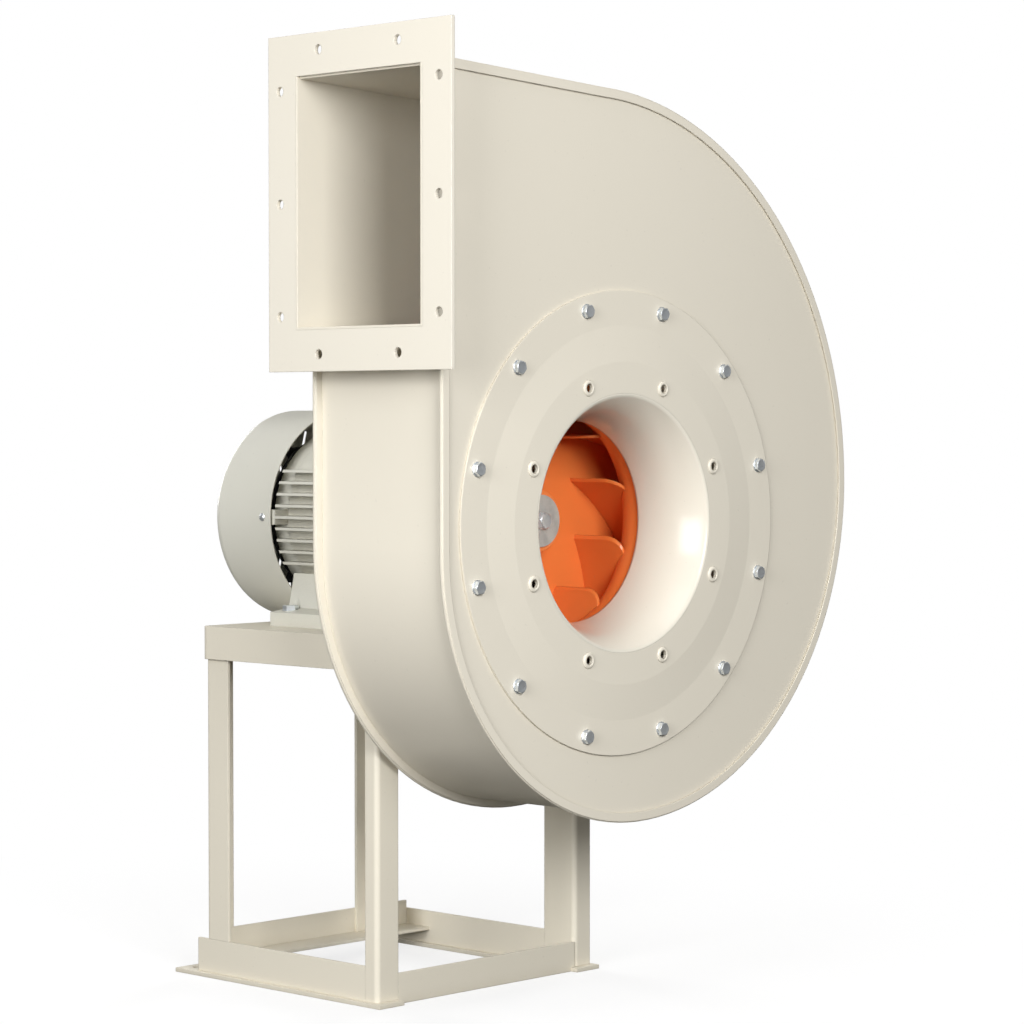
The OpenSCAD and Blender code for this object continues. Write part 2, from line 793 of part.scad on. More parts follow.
module rotor_core() {
  color("slategray") difference() {
    bar_y(0, 0, core_start_y, core_len, rotor_r);
    bar_y(0, 0, core_start_y - cut, core_len + cut * 2, shaft_core_r);
  }
}

module stator_core() {
  color("slategray") difference() {
    bar_y(0, 0, core_start_y, core_len, frame_bore_r);
    bar_y(0, 0, core_start_y - cut, core_len + cut * 2, stator_bore_r);
  }
}

module stator_windings() {
  coil_r = (frame_bore_r - stator_bore_r) / 4;
  mid_r = (frame_bore_r + stator_bore_r) / 2;
  color("peru") for (y = [core_start_y - winding_len, core_start_y + core_len]) turned() {
    translate([mid_r - coil_r, y]) square([coil_r * 2, winding_len]);
  }
}

// The finned barrel's section: parallel fins at the sides, above and below.
module frame_2d() {
  side_rows = floor(fin_r * half_share / fin_pitch);
  difference() {
    union() {
      circle(frame_r);
      intersection() {
        circle(fin_r);
        for (i = [-side_rows : side_rows]) {
          translate([-fin_r, i * fin_pitch - fin_t / 2]) square([fin_r * 2, fin_t]);
          translate([i * fin_pitch - fin_t / 2, -fin_r]) square([fin_t, fin_r * 2]);
        }
      }
    }
    circle(frame_bore_r);
  }
}

module motor_frame() {
  seat_w = terminal_w + fin_pitch;
  color("beige") difference() {
    along_y(frame_start_y, frame_len) frame_2d();
    translate([-seat_w / 2, terminal_y - seat_w / 2, terminal_z]) cube([seat_w, seat_w, fin_r]);
  }
}

// One foot's section: a thick pad and a web that meets the barrel.
module foot_2d() {
  web_x = frame_r * web_share;
  web_z = sqrt(frame_r * frame_r - web_x * web_x);
  difference() {
    polygon([
      [web_x, -motor_height],
      [foot_over_x / 2, -motor_height],
      [foot_over_x / 2, foot_top],
      [foot_x - foot_t / 2, foot_top + foot_t / 4],
      [foot_x - foot_t, -web_z],
      [web_x, -web_z]
    ]);
    circle(frame_r);
  }
}

module motor_feet() {
  foot_len = foot_spacing_y + foot_end * 2;
  color("beige") difference() {
    for (side = [0, 1]) mirror([side, 0, 0]) along_y(foot_y[0] - foot_end, foot_len) foot_2d();
    for (side = [-1, 1], y = foot_y) {
      translate([side * foot_x, y, tray_top - cut])
        cylinder(r = large_bolt_r + bolt_play, h = foot_t + cut * 2);
      translate([side * foot_x, y, tray_top + foot_t])
        cylinder(r = large_bolt_r * washer_radius_share + bolt_play, h = foot_t * 2);
    }
  }
}

module drive_end_shield() {
  neck_r = bearing_r + frame_wall;
  color("beige") difference() {
    turned() polygon([
      [shaft_r, shoulder_y + shaft_play],
      [neck_r, shoulder_y + shaft_play],
      [neck_r + frame_wall / 2, shoulder_y + front_shield_t / 4],
      [shield_r - frame_wall, frame_start_y - front_shield_t / 2],
      [shield_r, frame_start_y - front_shield_t / 3],
      [shield_r, frame_start_y],
      [frame_bore_r, frame_start_y],
      [frame_bore_r - frame_wall, frame_start_y - front_shield_t / 4],
      [neck_r, frame_start_y - front_shield_t / 4],
      [neck_r, frame_start_y],
      [shaft_r, frame_start_y]
    ]);
    bar_y(0, 0, shoulder_y - cut, front_shield_t, shaft_seat_r + shaft_play);
    bar_y(0, 0, front_bearing_y, front_shield_t, bearing_r);
  }
}

module rear_end_shield() {
  boss_y = rear_bearing_y - bearing_w / 8;
  color("beige") difference() {
    union() {
      bar_y(0, 0, frame_end_y, rear_shield_t, frame_r);
      bar_y(0, 0, boss_y, frame_end_y - boss_y, bearing_r + frame_wall);
      intersection() {
        for (turn = [0, 90]) translate([0, 0, shaft_height]) rotate([0, turn, 0])
          translate([-fin_r, frame_end_y, -lug_w / 2]) cube([fin_r * 2, rear_shield_t, lug_w]);
        bar_y(0, 0, frame_end_y, rear_shield_t, cowl_r - cowl_t);
      }
    }
    bar_y(0, 0, boss_y - cut, rear_bearing_y + bearing_w - boss_y + cut, bearing_r);
    bar_y(0, 0, boss_y - cut, shield_end_y - boss_y + cut * 2, shaft_seat_r + shaft_play);
    lug_screws() cylinder(r = screw_r, h = lug_w * 2, center = true);
  }
}

// The places on the rear shield's lugs where the cowl is screwed on: all but the one over the tray.
module lug_screws() {
  lug_y = shield_end_y - lug_w / 3;
  for (turn = [0, 90, 270]) translate([0, lug_y, shaft_height]) rotate([0, turn, 0])
    translate([0, 0, cowl_r - cowl_t]) children();
}

// One bearing ring with its share of the groove that the balls run in.
module bearing_ring(y, r_in, r_out, groove_r) {
  difference() {
    bar_y(0, 0, y, bearing_w, r_out);
    bar_y(0, 0, y - cut, bearing_w + cut * 2, r_in);
    translate([0, y + bearing_w / 2, shaft_height]) rotate([-90, 0, 0]) rotate_extrude()
      translate([ball_ring_r, 0]) circle(groove_r);
  }
}

module bearing_outer_rings() {
  color("silver") for (y = [front_bearing_y, rear_bearing_y])
    bearing_ring(y, bearing_r - ring_t, bearing_r, ball_r + seat_gap);
}

module bearing_inner_rings() {
  color("silver") for (y = [front_bearing_y, rear_bearing_y])
    bearing_ring(y, shaft_seat_r, shaft_seat_r + ring_t, ball_r + body_gap);
}

module bearing_balls() {
  color("silver") for (y = [front_bearing_y, rear_bearing_y]) about_shaft(ball_count, 0)
    translate([ball_ring_r, y + bearing_w / 2, shaft_height]) sphere(r = ball_r);
}

module cooling_fan() {
  vane_start = shaft_tail_r * fan_root_share;
  color("darkslategray") difference() {
    union() {
      bar_y(0, 0, fan_start_y, fan_w, shaft_tail_r * 2);
      bar_y(0, 0, fan_start_y, cowl_t * 2, fan_r);
      about_shaft(fan_vane_count, 0) translate([vane_start, fan_start_y, shaft_height - cowl_t])
        cube([fan_r - vane_start - cowl_t, fan_w, cowl_t * 2]);
    }
    bar_y(0, 0, fan_start_y - cut, fan_w + cut * 2, shaft_tail_r);
  }
}

// The cowl's wall as a (radius, y) profile with a rounded rear edge.
module cowl_2d(r, y_end, edge) {
  translate([0, cowl_start_y]) square([r, y_end - edge - cowl_start_y]);
  square_low = y_end - edge;
  translate([0, square_low]) square([r - edge, edge]);
  translate([r - edge, square_low]) intersection() {
    circle(edge);
    square([edge, edge]);
  }
}

module fan_cowl() {
  slot_w = cowl_edge_r * slot_width_share;
  slot_start = cowl_r * slot_start_share;
  slot_len = cowl_r - cowl_edge_r - slot_start - slot_w;
  slot_y = cowl_end_y - cowl_edge_r / 2;
  color("beige") difference() {
    turned() cowl_2d(cowl_r, cowl_end_y, cowl_edge_r);
    translate([0, -cut, 0]) turned() {
      translate([0, cut]) cowl_2d(cowl_r - cowl_t, cowl_end_y - cowl_t, cowl_edge_r - cowl_t);
      translate([0, cowl_start_y]) square([cowl_r - cowl_t, cut]);
    }
    about_shaft(cowl_slot_count, 0) translate([slot_start, slot_y, shaft_height - slot_w / 2])
      cube([slot_len, cowl_edge_r, slot_w]);
    about_shaft(cowl_slot_count / 2, 0) translate([slot_start / 4, slot_y, shaft_height - slot_w / 2])
      cube([slot_start * half_share, cowl_edge_r, slot_w]);
    lug_screws() cylinder(r = screw_r, h = lug_w * 2, center = true);
  }
}

module cowl_screws() {
  color("silver") lug_screws() {
    translate([0, 0, -lug_w / 2]) cylinder(r = screw_r, h = lug_w / 2 + cowl_t);
    intersection() {
      translate([0, 0, cowl_t]) cylinder(r = screw_r * screw_head_share, h = screw_r);
      translate([0, 0, cowl_t - screw_r * 2]) sphere(r = screw_r * 3);
    }
  }
}

module terminal_slab(z, h, inset) {
  side = terminal_w - inset * 2;
  translate([0, terminal_y, z]) linear_extrude(h) rounded_rect(side, side, terminal_wall * 2 - inset);
}

module terminal_screw_spots() {
  spot = terminal_w / 2 - terminal_wall * 2;
  for (sx = [-1, 1], sy = [-1, 1]) translate([sx * spot, terminal_y + sy * spot, 0]) children();
}

module terminal_box() {
  color("beige") difference() {
    terminal_slab(terminal_z, terminal_h, 0);
    difference() {
      terminal_slab(terminal_z + terminal_wall, terminal_h, terminal_wall);
      terminal_screw_spots() translate([0, 0, terminal_z])
        cylinder(r = screw_r * washer_radius_share, h = terminal_h * 2);
    }
    terminal_screw_spots() translate([0, 0, lid_z - terminal_h / 2]) cylinder(r = screw_r, h = terminal_h);
    translate([terminal_w / 4, terminal_y, gland_z]) rotate([0, 90, 0])
      cylinder(r = gland_r, h = terminal_w);
  }
}

module terminal_lid() {
  color("beige") difference() {
    terminal_slab(lid_z, terminal_lid_t, 0);
    terminal_screw_spots() translate([0, 0, lid_z - cut])
      cylinder(r = screw_r, h = terminal_lid_t + cut * 2);
  }
}

module terminal_lid_screws() {
  color("silver") terminal_screw_spots() {
    translate([0, 0, lid_z - terminal_h / 2]) cylinder(r = screw_r, h = terminal_h / 2 + terminal_lid_t);
    translate([0, 0, lid_z + terminal_lid_t]) cylinder(r = screw_r * screw_head_share, h = screw_r);
  }
}

module cable_gland() {
  color("dimgray") translate([terminal_w / 2, terminal_y, gland_z]) rotate([0, 90, 0]) difference() {
    union() {
      translate([0, 0, -terminal_wall]) cylinder(r = gland_r, h = terminal_wall);
      cylinder(r = gland_r * gland_hex_share, h = gland_len / 3, $fn = hex_sides);
      cylinder(r = gland_r * gland_body_share, h = gland_len);
    }
    translate([0, 0, -terminal_wall - cut])
      cylinder(r = gland_bore_r, h = gland_len + terminal_wall + cut * 2);
  }
}

// The motor tray: a flat top with a skirt all round.
module motor_tray() {
  tray_mid_y = tray_front_y + tray_len / 2;
  earth_y = tray_front_y + tray_len * earth_hole_share;
  color("linen") difference() {
    translate([0, tray_mid_y, tray_low]) linear_extrude(tray_h)
      rounded_rect(tray_w, tray_len, tray_corner_r);
    translate([-post_x, post_front_y, tray_low - cut])
      cube([post_x * 2, post_back_y - post_front_y, tray_h - angle_t + cut]);
    for (side = [-1, 1], y = foot_y) translate([side * foot_x, y, tray_under - cut])
      cylinder(r = large_bolt_r + bolt_play, h = angle_t + cut * 2);
    casing_bolt_bore(tray_front_y - cut, angle_t + cut * 2, large_bolt_r + bolt_play);
    translate([-tray_x - cut, earth_y, tray_bolt_z]) rotate([0, 90, 0])
      cylinder(r = small_bolt_r, h = angle_t + cut * 2);
  }
}

// A bent angle's section with its heel at the origin and its flanges along +x and +y.
module angle_2d(w_x, w_y) {
  translate([post_bend_r, 0]) square([w_x - post_bend_r, angle_t]);
  translate([0, post_bend_r]) square([angle_t, w_y - post_bend_r]);
  translate([post_bend_r, post_bend_r]) intersection() {
    difference() {
      circle(post_bend_r);
      circle(post_bend_r - angle_t);
    }
    translate([-post_bend_r, -post_bend_r]) square([post_bend_r, post_bend_r]);
  }
}

// An upright post from z0 up to the tray, with its heel at (x, y) and its flanges along sx and sy.
module post(x, y, w_x, w_y, sx, sy, z0) {
  translate([x, y, z0]) mirror([sx < 0 ? 1 : 0, 0, 0]) mirror([0, sy < 0 ? 1 : 0, 0])
    linear_extrude(tray_under - z0) angle_2d(w_x, w_y);
}

module post_near_left() {
  color("linen") difference() {
    post(-post_x, post_front_y, near_front_w, near_side_w, 1, 1, sole_t);
    casing_bolt_bore(post_front_y - cut, angle_t + cut * 2, large_bolt_r + bolt_play);
  }
}

// The rear left post stands on the side rail and is notched over the rear cross rail.
module post_rear_left() {
  color("linen") difference() {
    post(-post_x, post_back_y, post_w, post_w, 1, -1, rail_h);
    translate([angle_t - post_x, post_back_y - angle_t, rear_rail_z]) cube([post_w, post_w, rear_rail_h]);
  }
}

module post_right() {
  color("linen") difference() {
    post(right_post_x, post_front_y, right_front_w, right_side_w, 1, 1, sole_t);
    casing_bolt_bore(post_front_y - cut, angle_t + cut * 2, large_bolt_r + bolt_play);
  }
}

// The rear right post stands on the rear cross rail's flange.
module post_rear_right() {
  color("linen")
    post(rear_right_x, post_back_y - angle_t, rear_right_w, post_w, -1, -1, rear_rail_z + angle_t);
}

// A side rail: a flat standing on its sole plate.
module side_rail(x, y0) {
  translate([x, y0, sole_t]) cube([angle_t, rail_end_y - y0, rail_h - sole_t]);
}

module side_rail_left() {
  color("linen") side_rail(-post_x, post_front_y + near_side_w);
}

module side_rail_right() {
  color("linen") side_rail(right_post_x, post_front_y + right_side_w);
}

// The front cross rail, cut away where it passes over a sole plate.
module cross_rail_front() {
  start_x = near_front_w - post_x;
  span = right_post_x - start_x;
  color("linen") difference() {
    translate([start_x, post_front_y, 0]) {
      cube([span, angle_t, front_rail_h]);
      cube([span, front_rail_w, angle_t]);
    }
    for (side = [-1, 1]) translate([side * sole_x - sole_w / 2, sole_start_y, -cut])
      cube([sole_w, sole_end_y - sole_start_y, sole_t + cut]);
  }
}

module cross_rail_rear() {
  start_x = angle_t - post_x;
  span = right_post_x - start_x;
  color("linen") {
    translate([start_x, post_back_y - angle_t, rear_rail_z]) cube([span, angle_t, rear_rail_h]);
    translate([start_x, post_back_y - rear_rail_w, rear_rail_z]) cube([span, rear_rail_w, angle_t]);
  }
}

module sole_plates() {
  sole_len = sole_end_y - sole_start_y;
  color("linen") for (side = [-1, 1]) difference() {
    translate([side * sole_x - sole_w / 2, sole_start_y, 0]) cube([sole_w, sole_len, sole_t]);
    for (y = anchor_y) translate([side * sole_x, y, -cut]) cylinder(r = anchor_r, h = sole_t + cut * 2);
  }
}

// A hexagon-head bolt standing on a face at height z, pointing down.
module bolt_down(r, z, length) {
  head_h = r * head_height_share;
  wash_h = r * washer_height_share;
  translate([0, 0, z + wash_h]) cylinder(r = r * hex_head_share, h = head_h, $fn = hex_sides);
  translate([0, 0, z]) cylinder(r = r * washer_radius_share, h = wash_h);
  translate([0, 0, z - length]) cylinder(r = r, h = length + wash_h);
}

module motor_foot_bolts() {
  color("silver") for (side = [-1, 1], y = foot_y)
    translate([side * foot_x, y, 0]) bolt_down(large_bolt_r, tray_top + foot_t, foot_bolt_len);
}

module motor_foot_nuts() {
  nut_h = large_bolt_r * nut_height_share;
  color("silver") for (side = [-1, 1], y = foot_y)
    translate([side * foot_x, y, tray_under - nut_h]) difference() {
      cylinder(r = large_bolt_r * hex_head_share, h = nut_h, $fn = hex_sides);
      translate([0, 0, -cut]) cylinder(r = large_bolt_r, h = nut_h + cut * 2);
    }
}

module casing_spacers() {
  tube_r = large_bolt_r * hex_head_share;
  color("silver") difference() {
    union() {
      for (side = [-1, 1]) translate([side * tray_bolt_x, outer_y, tray_bolt_z]) rotate([-90, 0, 0])
        cylinder(r = tube_r, h = tray_front_y - outer_y);
      for (x = post_bolt_x) translate([x, outer_y, post_bolt_z]) rotate([-90, 0, 0])
        cylinder(r = tube_r, h = post_front_y - outer_y);
    }
    casing_bolt_bore(outer_y - cut, post_front_y, large_bolt_r + bolt_play);
  }
}

module casing_bolts() {
  reach = post_front_y + angle_t + large_bolt_r * nut_height_share + large_bolt_r / 2 - inner_y;
  head_h = large_bolt_r * head_height_share;
  color("silver") casing_bolt_spots() rotate([-90, 0, 0]) {
    translate([0, 0, inner_y - head_h])
      cylinder(r = large_bolt_r * hex_head_share, h = head_h, $fn = hex_sides);
    translate([0, 0, inner_y]) cylinder(r = large_bolt_r, h = reach);
  }
}

module casing_nut(x, y, z) {
  nut_h = large_bolt_r * nut_height_share;
  translate([x, y, z]) rotate([-90, 0, 0]) difference() {
    cylinder(r = large_bolt_r * hex_head_share, h = nut_h, $fn = hex_sides);
    translate([0, 0, -cut]) cylinder(r = large_bolt_r, h = nut_h + cut * 2);
  }
}

module casing_nuts() {
  color("silver") {
    for (side = [-1, 1]) casing_nut(side * tray_bolt_x, tray_front_y + angle_t, tray_bolt_z);
    for (x = post_bolt_x) casing_nut(x, post_front_y + angle_t, post_bolt_z);
  }
}

placed() front_side_plate();
placed() back_side_plate();
placed() scroll_wrapper();
placed() cutoff_tongue();
placed() outlet_flange();
placed() inlet_disc();
placed() inlet_cone();
placed() inlet_disc_bolts();
placed() inlet_disc_nuts();
placed() shaft_seal_plate();
placed() seal_plate_screws();
placed() impeller_shroud();
placed() impeller_blades();
placed() impeller_back_disc();
placed() impeller_hub();
placed() hub_key();
placed() hub_washer();
placed() hub_bolt();
placed() motor_shaft();
placed() rotor_core();
placed() stator_core();
placed() stator_windings();
placed() motor_frame();
placed() motor_feet();
placed() drive_end_shield();
placed() rear_end_shield();
placed() bearing_outer_rings();
placed() bearing_inner_rings();
placed() bearing_balls();
placed() cooling_fan();
placed() fan_cowl();
placed() cowl_screws();
placed() terminal_box();
placed() terminal_lid();
placed() terminal_lid_screws();
placed() cable_gland();
placed() motor_tray();
placed() post_near_left();
placed() post_rear_left();
placed() post_right();
placed() post_rear_right();
placed() side_rail_left();
placed() side_rail_right();
placed() cross_rail_front();
placed() cross_rail_rear();
placed() sole_plates();
placed() motor_foot_bolts();
placed() motor_foot_nuts();
placed() casing_spacers();
placed() casing_bolts();
placed() casing_nuts();
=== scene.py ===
"""Dresses a packed centrifugal blower: studio, camera, paints, plated fasteners, fine fittings."""

import logging
import math
from dataclasses import dataclass, field
from enum import Enum

import bmesh
import bpy
from mathutils import Matrix, Vector


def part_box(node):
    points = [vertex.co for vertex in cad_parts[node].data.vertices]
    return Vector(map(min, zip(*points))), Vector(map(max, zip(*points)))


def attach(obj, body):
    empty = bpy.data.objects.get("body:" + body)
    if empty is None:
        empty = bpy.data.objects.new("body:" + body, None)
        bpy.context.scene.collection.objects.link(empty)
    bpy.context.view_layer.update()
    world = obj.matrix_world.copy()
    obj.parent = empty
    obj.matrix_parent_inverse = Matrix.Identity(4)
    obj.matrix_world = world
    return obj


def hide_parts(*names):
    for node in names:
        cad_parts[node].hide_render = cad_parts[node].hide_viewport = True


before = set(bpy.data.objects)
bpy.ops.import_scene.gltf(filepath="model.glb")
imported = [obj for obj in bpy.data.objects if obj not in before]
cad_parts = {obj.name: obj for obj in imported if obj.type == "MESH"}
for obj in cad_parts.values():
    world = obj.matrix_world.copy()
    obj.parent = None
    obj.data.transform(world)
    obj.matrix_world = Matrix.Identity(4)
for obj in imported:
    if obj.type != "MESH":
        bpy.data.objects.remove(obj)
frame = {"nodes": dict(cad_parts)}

LOG = logging.getLogger("blower")
MIDDLE_Y = -0.2975  # middle of the casing along the shaft
SHAFT_Z = 0.56

NodeTree, Node, NodeSocket = bpy.types.NodeTree, bpy.types.Node, bpy.types.NodeSocket
Material, Object = bpy.types.Material, bpy.types.Object
BMesh, BMVert = bmesh.types.BMesh, bmesh.types.BMVert
Point = tuple[float, float, float]
Colour = tuple[float, float, float, float]
WHITE: Colour = (1.0, 1.0, 1.0, 1.0)
CREAM: Colour = (0.735, 0.690, 0.590, 1.0)
MOTOR_GREY: Colour = (0.690, 0.680, 0.605, 1.0)
# Tint multiplied into corners as painted shade, mottled like grime.
SHADE_AND_GRIME_TINT: Colour = (0.60, 0.55, 0.46, 1.0)
SPECK_COLOUR: Colour = (0.30, 0.28, 0.24, 1.0)
STAIN_COLOUR: Colour = (0.22, 0.22, 0.21, 1.0)
SCUFF_COLOUR: Colour = (0.35, 0.35, 0.35, 1.0)


class Axis(Enum):
    """The direction in which a fastener's head points."""

    INLET = (0.0, -1.0, 0.0)
    UP = (0.0, 0.0, 1.0)

    def matrix(self, spot: Vector, turn: float) -> Matrix:
        """Places a fastener modelled along +Z.

        Args:
            spot: Where the head's underside sits.
            turn: Rotation about the fastener's own axis, in radians.

        Returns:
            The matrix from the fastener's frame to the blower's.
        """
        out = Vector(self.value).to_track_quat("Z", "Y").to_matrix().to_4x4()
        return Matrix.Translation(spot) @ out @ Matrix.Rotation(turn, 4, "Z")


class Drive(Enum):
    """The shape pressed into a fastener's head."""

    HEXAGON = "hexagon head"
    CROSS = "cross recess"


# Shader groups


@dataclass
class GroupMaker:
    """Builds one shader node group and wires its nodes.

    Attributes:
        name: The group's name.
        inputs: Each input's name and default, a number or a colour.
    """

    name: str
    inputs: dict[str, float | Colour]
    tree: NodeTree = field(init=False)
    inlet: Node = field(init=False)
    outlet: Node = field(init=False)

    def __post_init__(self) -> None:
        """Makes the group with its two end nodes and its inputs."""
        self.tree = bpy.data.node_groups.new(self.name, "ShaderNodeTree")
        self.inlet = self.tree.nodes.new("NodeGroupInput")
        self.outlet = self.tree.nodes.new("NodeGroupOutput")
        for name, value in self.inputs.items():
            kind = "Color" if isinstance(value, tuple) else "Float"
            made = self.tree.interface.new_socket(name=name, in_out="INPUT",
                                                  socket_type=f"NodeSocket{kind}")
            made.default_value = value

    def gives(self, name: str, kind: str, source: NodeSocket) -> None:
        """Adds an output socket and links it.

        Args:
            name: The socket's name.
            kind: Float, Color or Vector.
            source: The socket that feeds it.
        """
        self.tree.interface.new_socket(name=name, in_out="OUTPUT",
                                       socket_type=f"NodeSocket{kind}")
        self.tree.links.new(source, self.outlet.inputs[name])

    def read(self, name: str) -> NodeSocket:
        """Returns the group's own input socket of that name."""
        return self.inlet.outputs[name]


def add_node(tree: NodeTree, kind: str, links: dict | None = None,
             **settings: object) -> Node:
    """Adds a node, sets its properties and feeds its inputs.

    Args:
        tree: The tree that gets the node.
        kind: The node's type, without the ShaderNode prefix.
        links: Input name or number to a socket that feeds it, or to a plain value.
        **settings: Properties of the node.

    Returns:
        The new node.
    """
    node = tree.nodes.new(f"ShaderNode{kind}")
    for key, value in settings.items():
        setattr(node, key, value)
    for key, value in (links or {}).items():
        if isinstance(value, NodeSocket):
            tree.links.new(value, node.inputs[key])
        else:
            node.inputs[key].default_value = value
    return node


def calculate(tree: NodeTree, operation: str, *values: object,
              clamp: bool = False) -> NodeSocket:
    """Returns the result of one sum.

    Args:
        tree: The tree that gets the node.
        operation: What is done with the values.
        *values: The values, as sockets or numbers.
        clamp: Whether the result is kept between 0 and 1.

    Returns:
        The result's socket.
    """
    node = add_node(tree, "Math", dict(enumerate(values)), operation=operation, use_clamp=clamp)
    return node.outputs[0]


def add_relief(tree: NodeTree, height: NodeSocket, normal: NodeSocket,
               strength: float, depth: float) -> NodeSocket:
    """Returns a normal that a height pattern has bent.

    Args:
        tree: The tree that gets the node.
        height: The pattern.
        normal: The normal under it.
        strength: How strongly the pattern shows.
        depth: How deep the pattern is, in metres.

    Returns:
        The new normal's socket.
    """
    node = add_node(tree, "Bump", {"Height": height, "Normal": normal, "Strength": strength,
                                   "Distance": depth})
    return node.outputs["Normal"]


def remap(tree: NodeTree, value: NodeSocket, low: float, high: float,
          to_low: float, to_high: float) -> NodeSocket:
    """Returns a socket that maps one range of a value smoothly onto another.

    Args:
        tree: The tree that gets the node.
        value: The value to map.
        low: Start of the range that is read.
        high: End of the range that is read.
        to_low: Result at the start.
        to_high: Result at the end.

    Returns:
        The mapped value's socket.
    """
    node = add_node(tree, "MapRange", {"Value": value, "From Min": low, "From Max": high,
                                       "To Min": to_low, "To Max": to_high},
                    interpolation_type="SMOOTHSTEP")
    return node.outputs["Result"]


def blend_colours(tree: NodeTree, share: object, first: object, second: object,
                  mode: str = "MIX") -> NodeSocket:
    """Returns the mix of two colours.

    Args:
        tree: The tree that gets the node.
        share: How much of the second colour shows, as a socket or a number.
        first: The first colour.
        second: The second colour.
        mode: How they are blended.

    Returns:
        The mixed colour's socket.
    """
    node = add_node(tree, "Mix", {0: share, 6: first, 7: second}, data_type="RGBA",
                    blend_type=mode)
    return node.outputs[2]


def object_noise(tree: NodeTree, scale: object, detail: float, roughness: float = 0.5,
                 stretch: tuple[float, float, float] | None = None) -> NodeSocket:
    """Returns a noise that is fixed to the blower.

    Args:
        tree: The tree that gets the nodes.
        scale: Cells per metre, as a socket or a number.
        detail: How many finer layers the noise has.
        roughness: How strong the finer layers are.
        stretch: Scale along each axis, for a noise drawn out one way.

    Returns:
        The noise's value, from 0 to 1.
    """
    where = add_node(tree, "TexCoord").outputs["Object"]
    if stretch is not None:
        where = add_node(tree, "Mapping", {"Vector": where, "Scale": stretch}).outputs["Vector"]
    noise = add_node(tree, "TexNoise", {"Vector": where, "Scale": scale, "Detail": detail,
                                        "Roughness": roughness})
    return noise.outputs["Fac"]


def make_paint_skin() -> NodeTree:
    """Builds the group for sprayed paint: cloudy tone, orange peel and dust specks.

    Returns:
        The group, with outputs Color, Roughness and Height.
    """
    group = GroupMaker("paint_skin", {"Color": WHITE, "Shade Color": WHITE, "Cloudiness": 0.5,
                                      "Peel Scale": 420.0, "Roughness": 0.35})
    tree = group.tree
    clouds = remap(tree, object_noise(tree, 2.6, 1.0, 0.35), 0.15, 0.85, 0.0, 0.8)
    fine = remap(tree, object_noise(tree, 34.0, 2.0, 0.4), 0.15, 0.85, 0.0, 0.2)
    both = calculate(tree, "ADD", clouds, fine)
    share = calculate(tree, "MULTIPLY", both, group.read("Cloudiness"), clamp=True)
    colour = blend_colours(tree, share, group.read("Color"), group.read("Shade Color"))
    specks = remap(tree, object_noise(tree, 260.0, 1.0), 0.74, 0.80, 0.0, 0.12)
    colour = blend_colours(tree, specks, colour, SPECK_COLOUR)
    group.gives("Color", "Color", colour)
    smears = remap(tree, object_noise(tree, 7.0, 3.0, 0.5), 0.2, 0.8, -0.04, 0.06)
    group.gives("Roughness", "Float",
                calculate(tree, "ADD", group.read("Roughness"), smears, clamp=True))
    peel = object_noise(tree, group.read("Peel Scale"), 2.0, 0.4)
    pits = remap(tree, object_noise(tree, 900.0, 0.0), 0.70, 0.78, 0.0, -0.6)
    group.gives("Height", "Float", calculate(tree, "ADD", peel, pits))
    return tree


def make_edge_wear() -> NodeTree:
    """Builds the group that finds worn edges and rounds them.

    Returns:
        The group, with outputs Mask and Normal.
    """
    group = GroupMaker("edge_wear", {"Radius": 0.0012, "Amount": 0.4, "Grit Scale": 90.0})
    tree = group.tree
    soft = add_node(tree, "Bevel", {"Radius": group.read("Radius")}, samples=6)
    flat = add_node(tree, "NewGeometry").outputs["Normal"]
    likeness = add_node(tree, "VectorMath", {0: soft.outputs["Normal"], 1: flat},
                        operation="DOT_PRODUCT")
    edge = remap(tree, likeness.outputs["Value"], 0.995, 0.80, 0.0, 1.0)
    grit = object_noise(tree, group.read("Grit Scale"), 5.0, 0.7)
    chips = remap(tree, grit, 0.50, 0.66, 0.0, 1.0)
    chipped = calculate(tree, "MULTIPLY", edge, chips)
    group.gives("Mask", "Float",
                calculate(tree, "MULTIPLY", chipped, group.read("Amount"), clamp=True))
    group.gives("Normal", "Vector", soft.outputs["Normal"])
    return tree


def make_corner_shade_and_grime() -> NodeTree:
    """Builds the group that paints shade into corners, where ambient occlusion finds them, mottled
    like grime, and finds dust on upward faces.

    Returns:
        The group, with two outputs: the painted corner shade with its grime, and dust on upward
            faces.
    """
    group = GroupMaker("corner_shade_and_grime", {"Reach": 0.03, "Amount": 0.5})
    tree = group.tree
    # Painted shade: ambient occlusion darkens corners and recesses, and patchy noise mottles it
    # like grime.
    hidden = add_node(tree, "AmbientOcclusion", {"Distance": group.read("Reach")}, samples=6)
    depth = remap(tree, hidden.outputs["AO"], 0.75, 0.25, 0.0, 1.0)
    patchy = remap(tree, object_noise(tree, 22.0, 5.0, 0.65), 0.3, 0.7, 0.35, 1.0)
    patchy_corner_shade = calculate(tree, "MULTIPLY", depth, patchy)
    group.gives("Grime", "Float",
                calculate(tree, "MULTIPLY", patchy_corner_shade, group.read("Amount"), clamp=True))
    facing = add_node(tree, "NewGeometry").outputs["Normal"]
    up = add_node(tree, "SeparateXYZ", {0: facing}).outputs["Z"]
    lying = remap(tree, up, 0.55, 0.95, 0.0, 1.0)
    settled = calculate(tree, "MULTIPLY", lying, patchy)
    group.gives("Dust", "Float",
                calculate(tree, "MULTIPLY", settled, group.read("Amount"), clamp=True))
    return tree


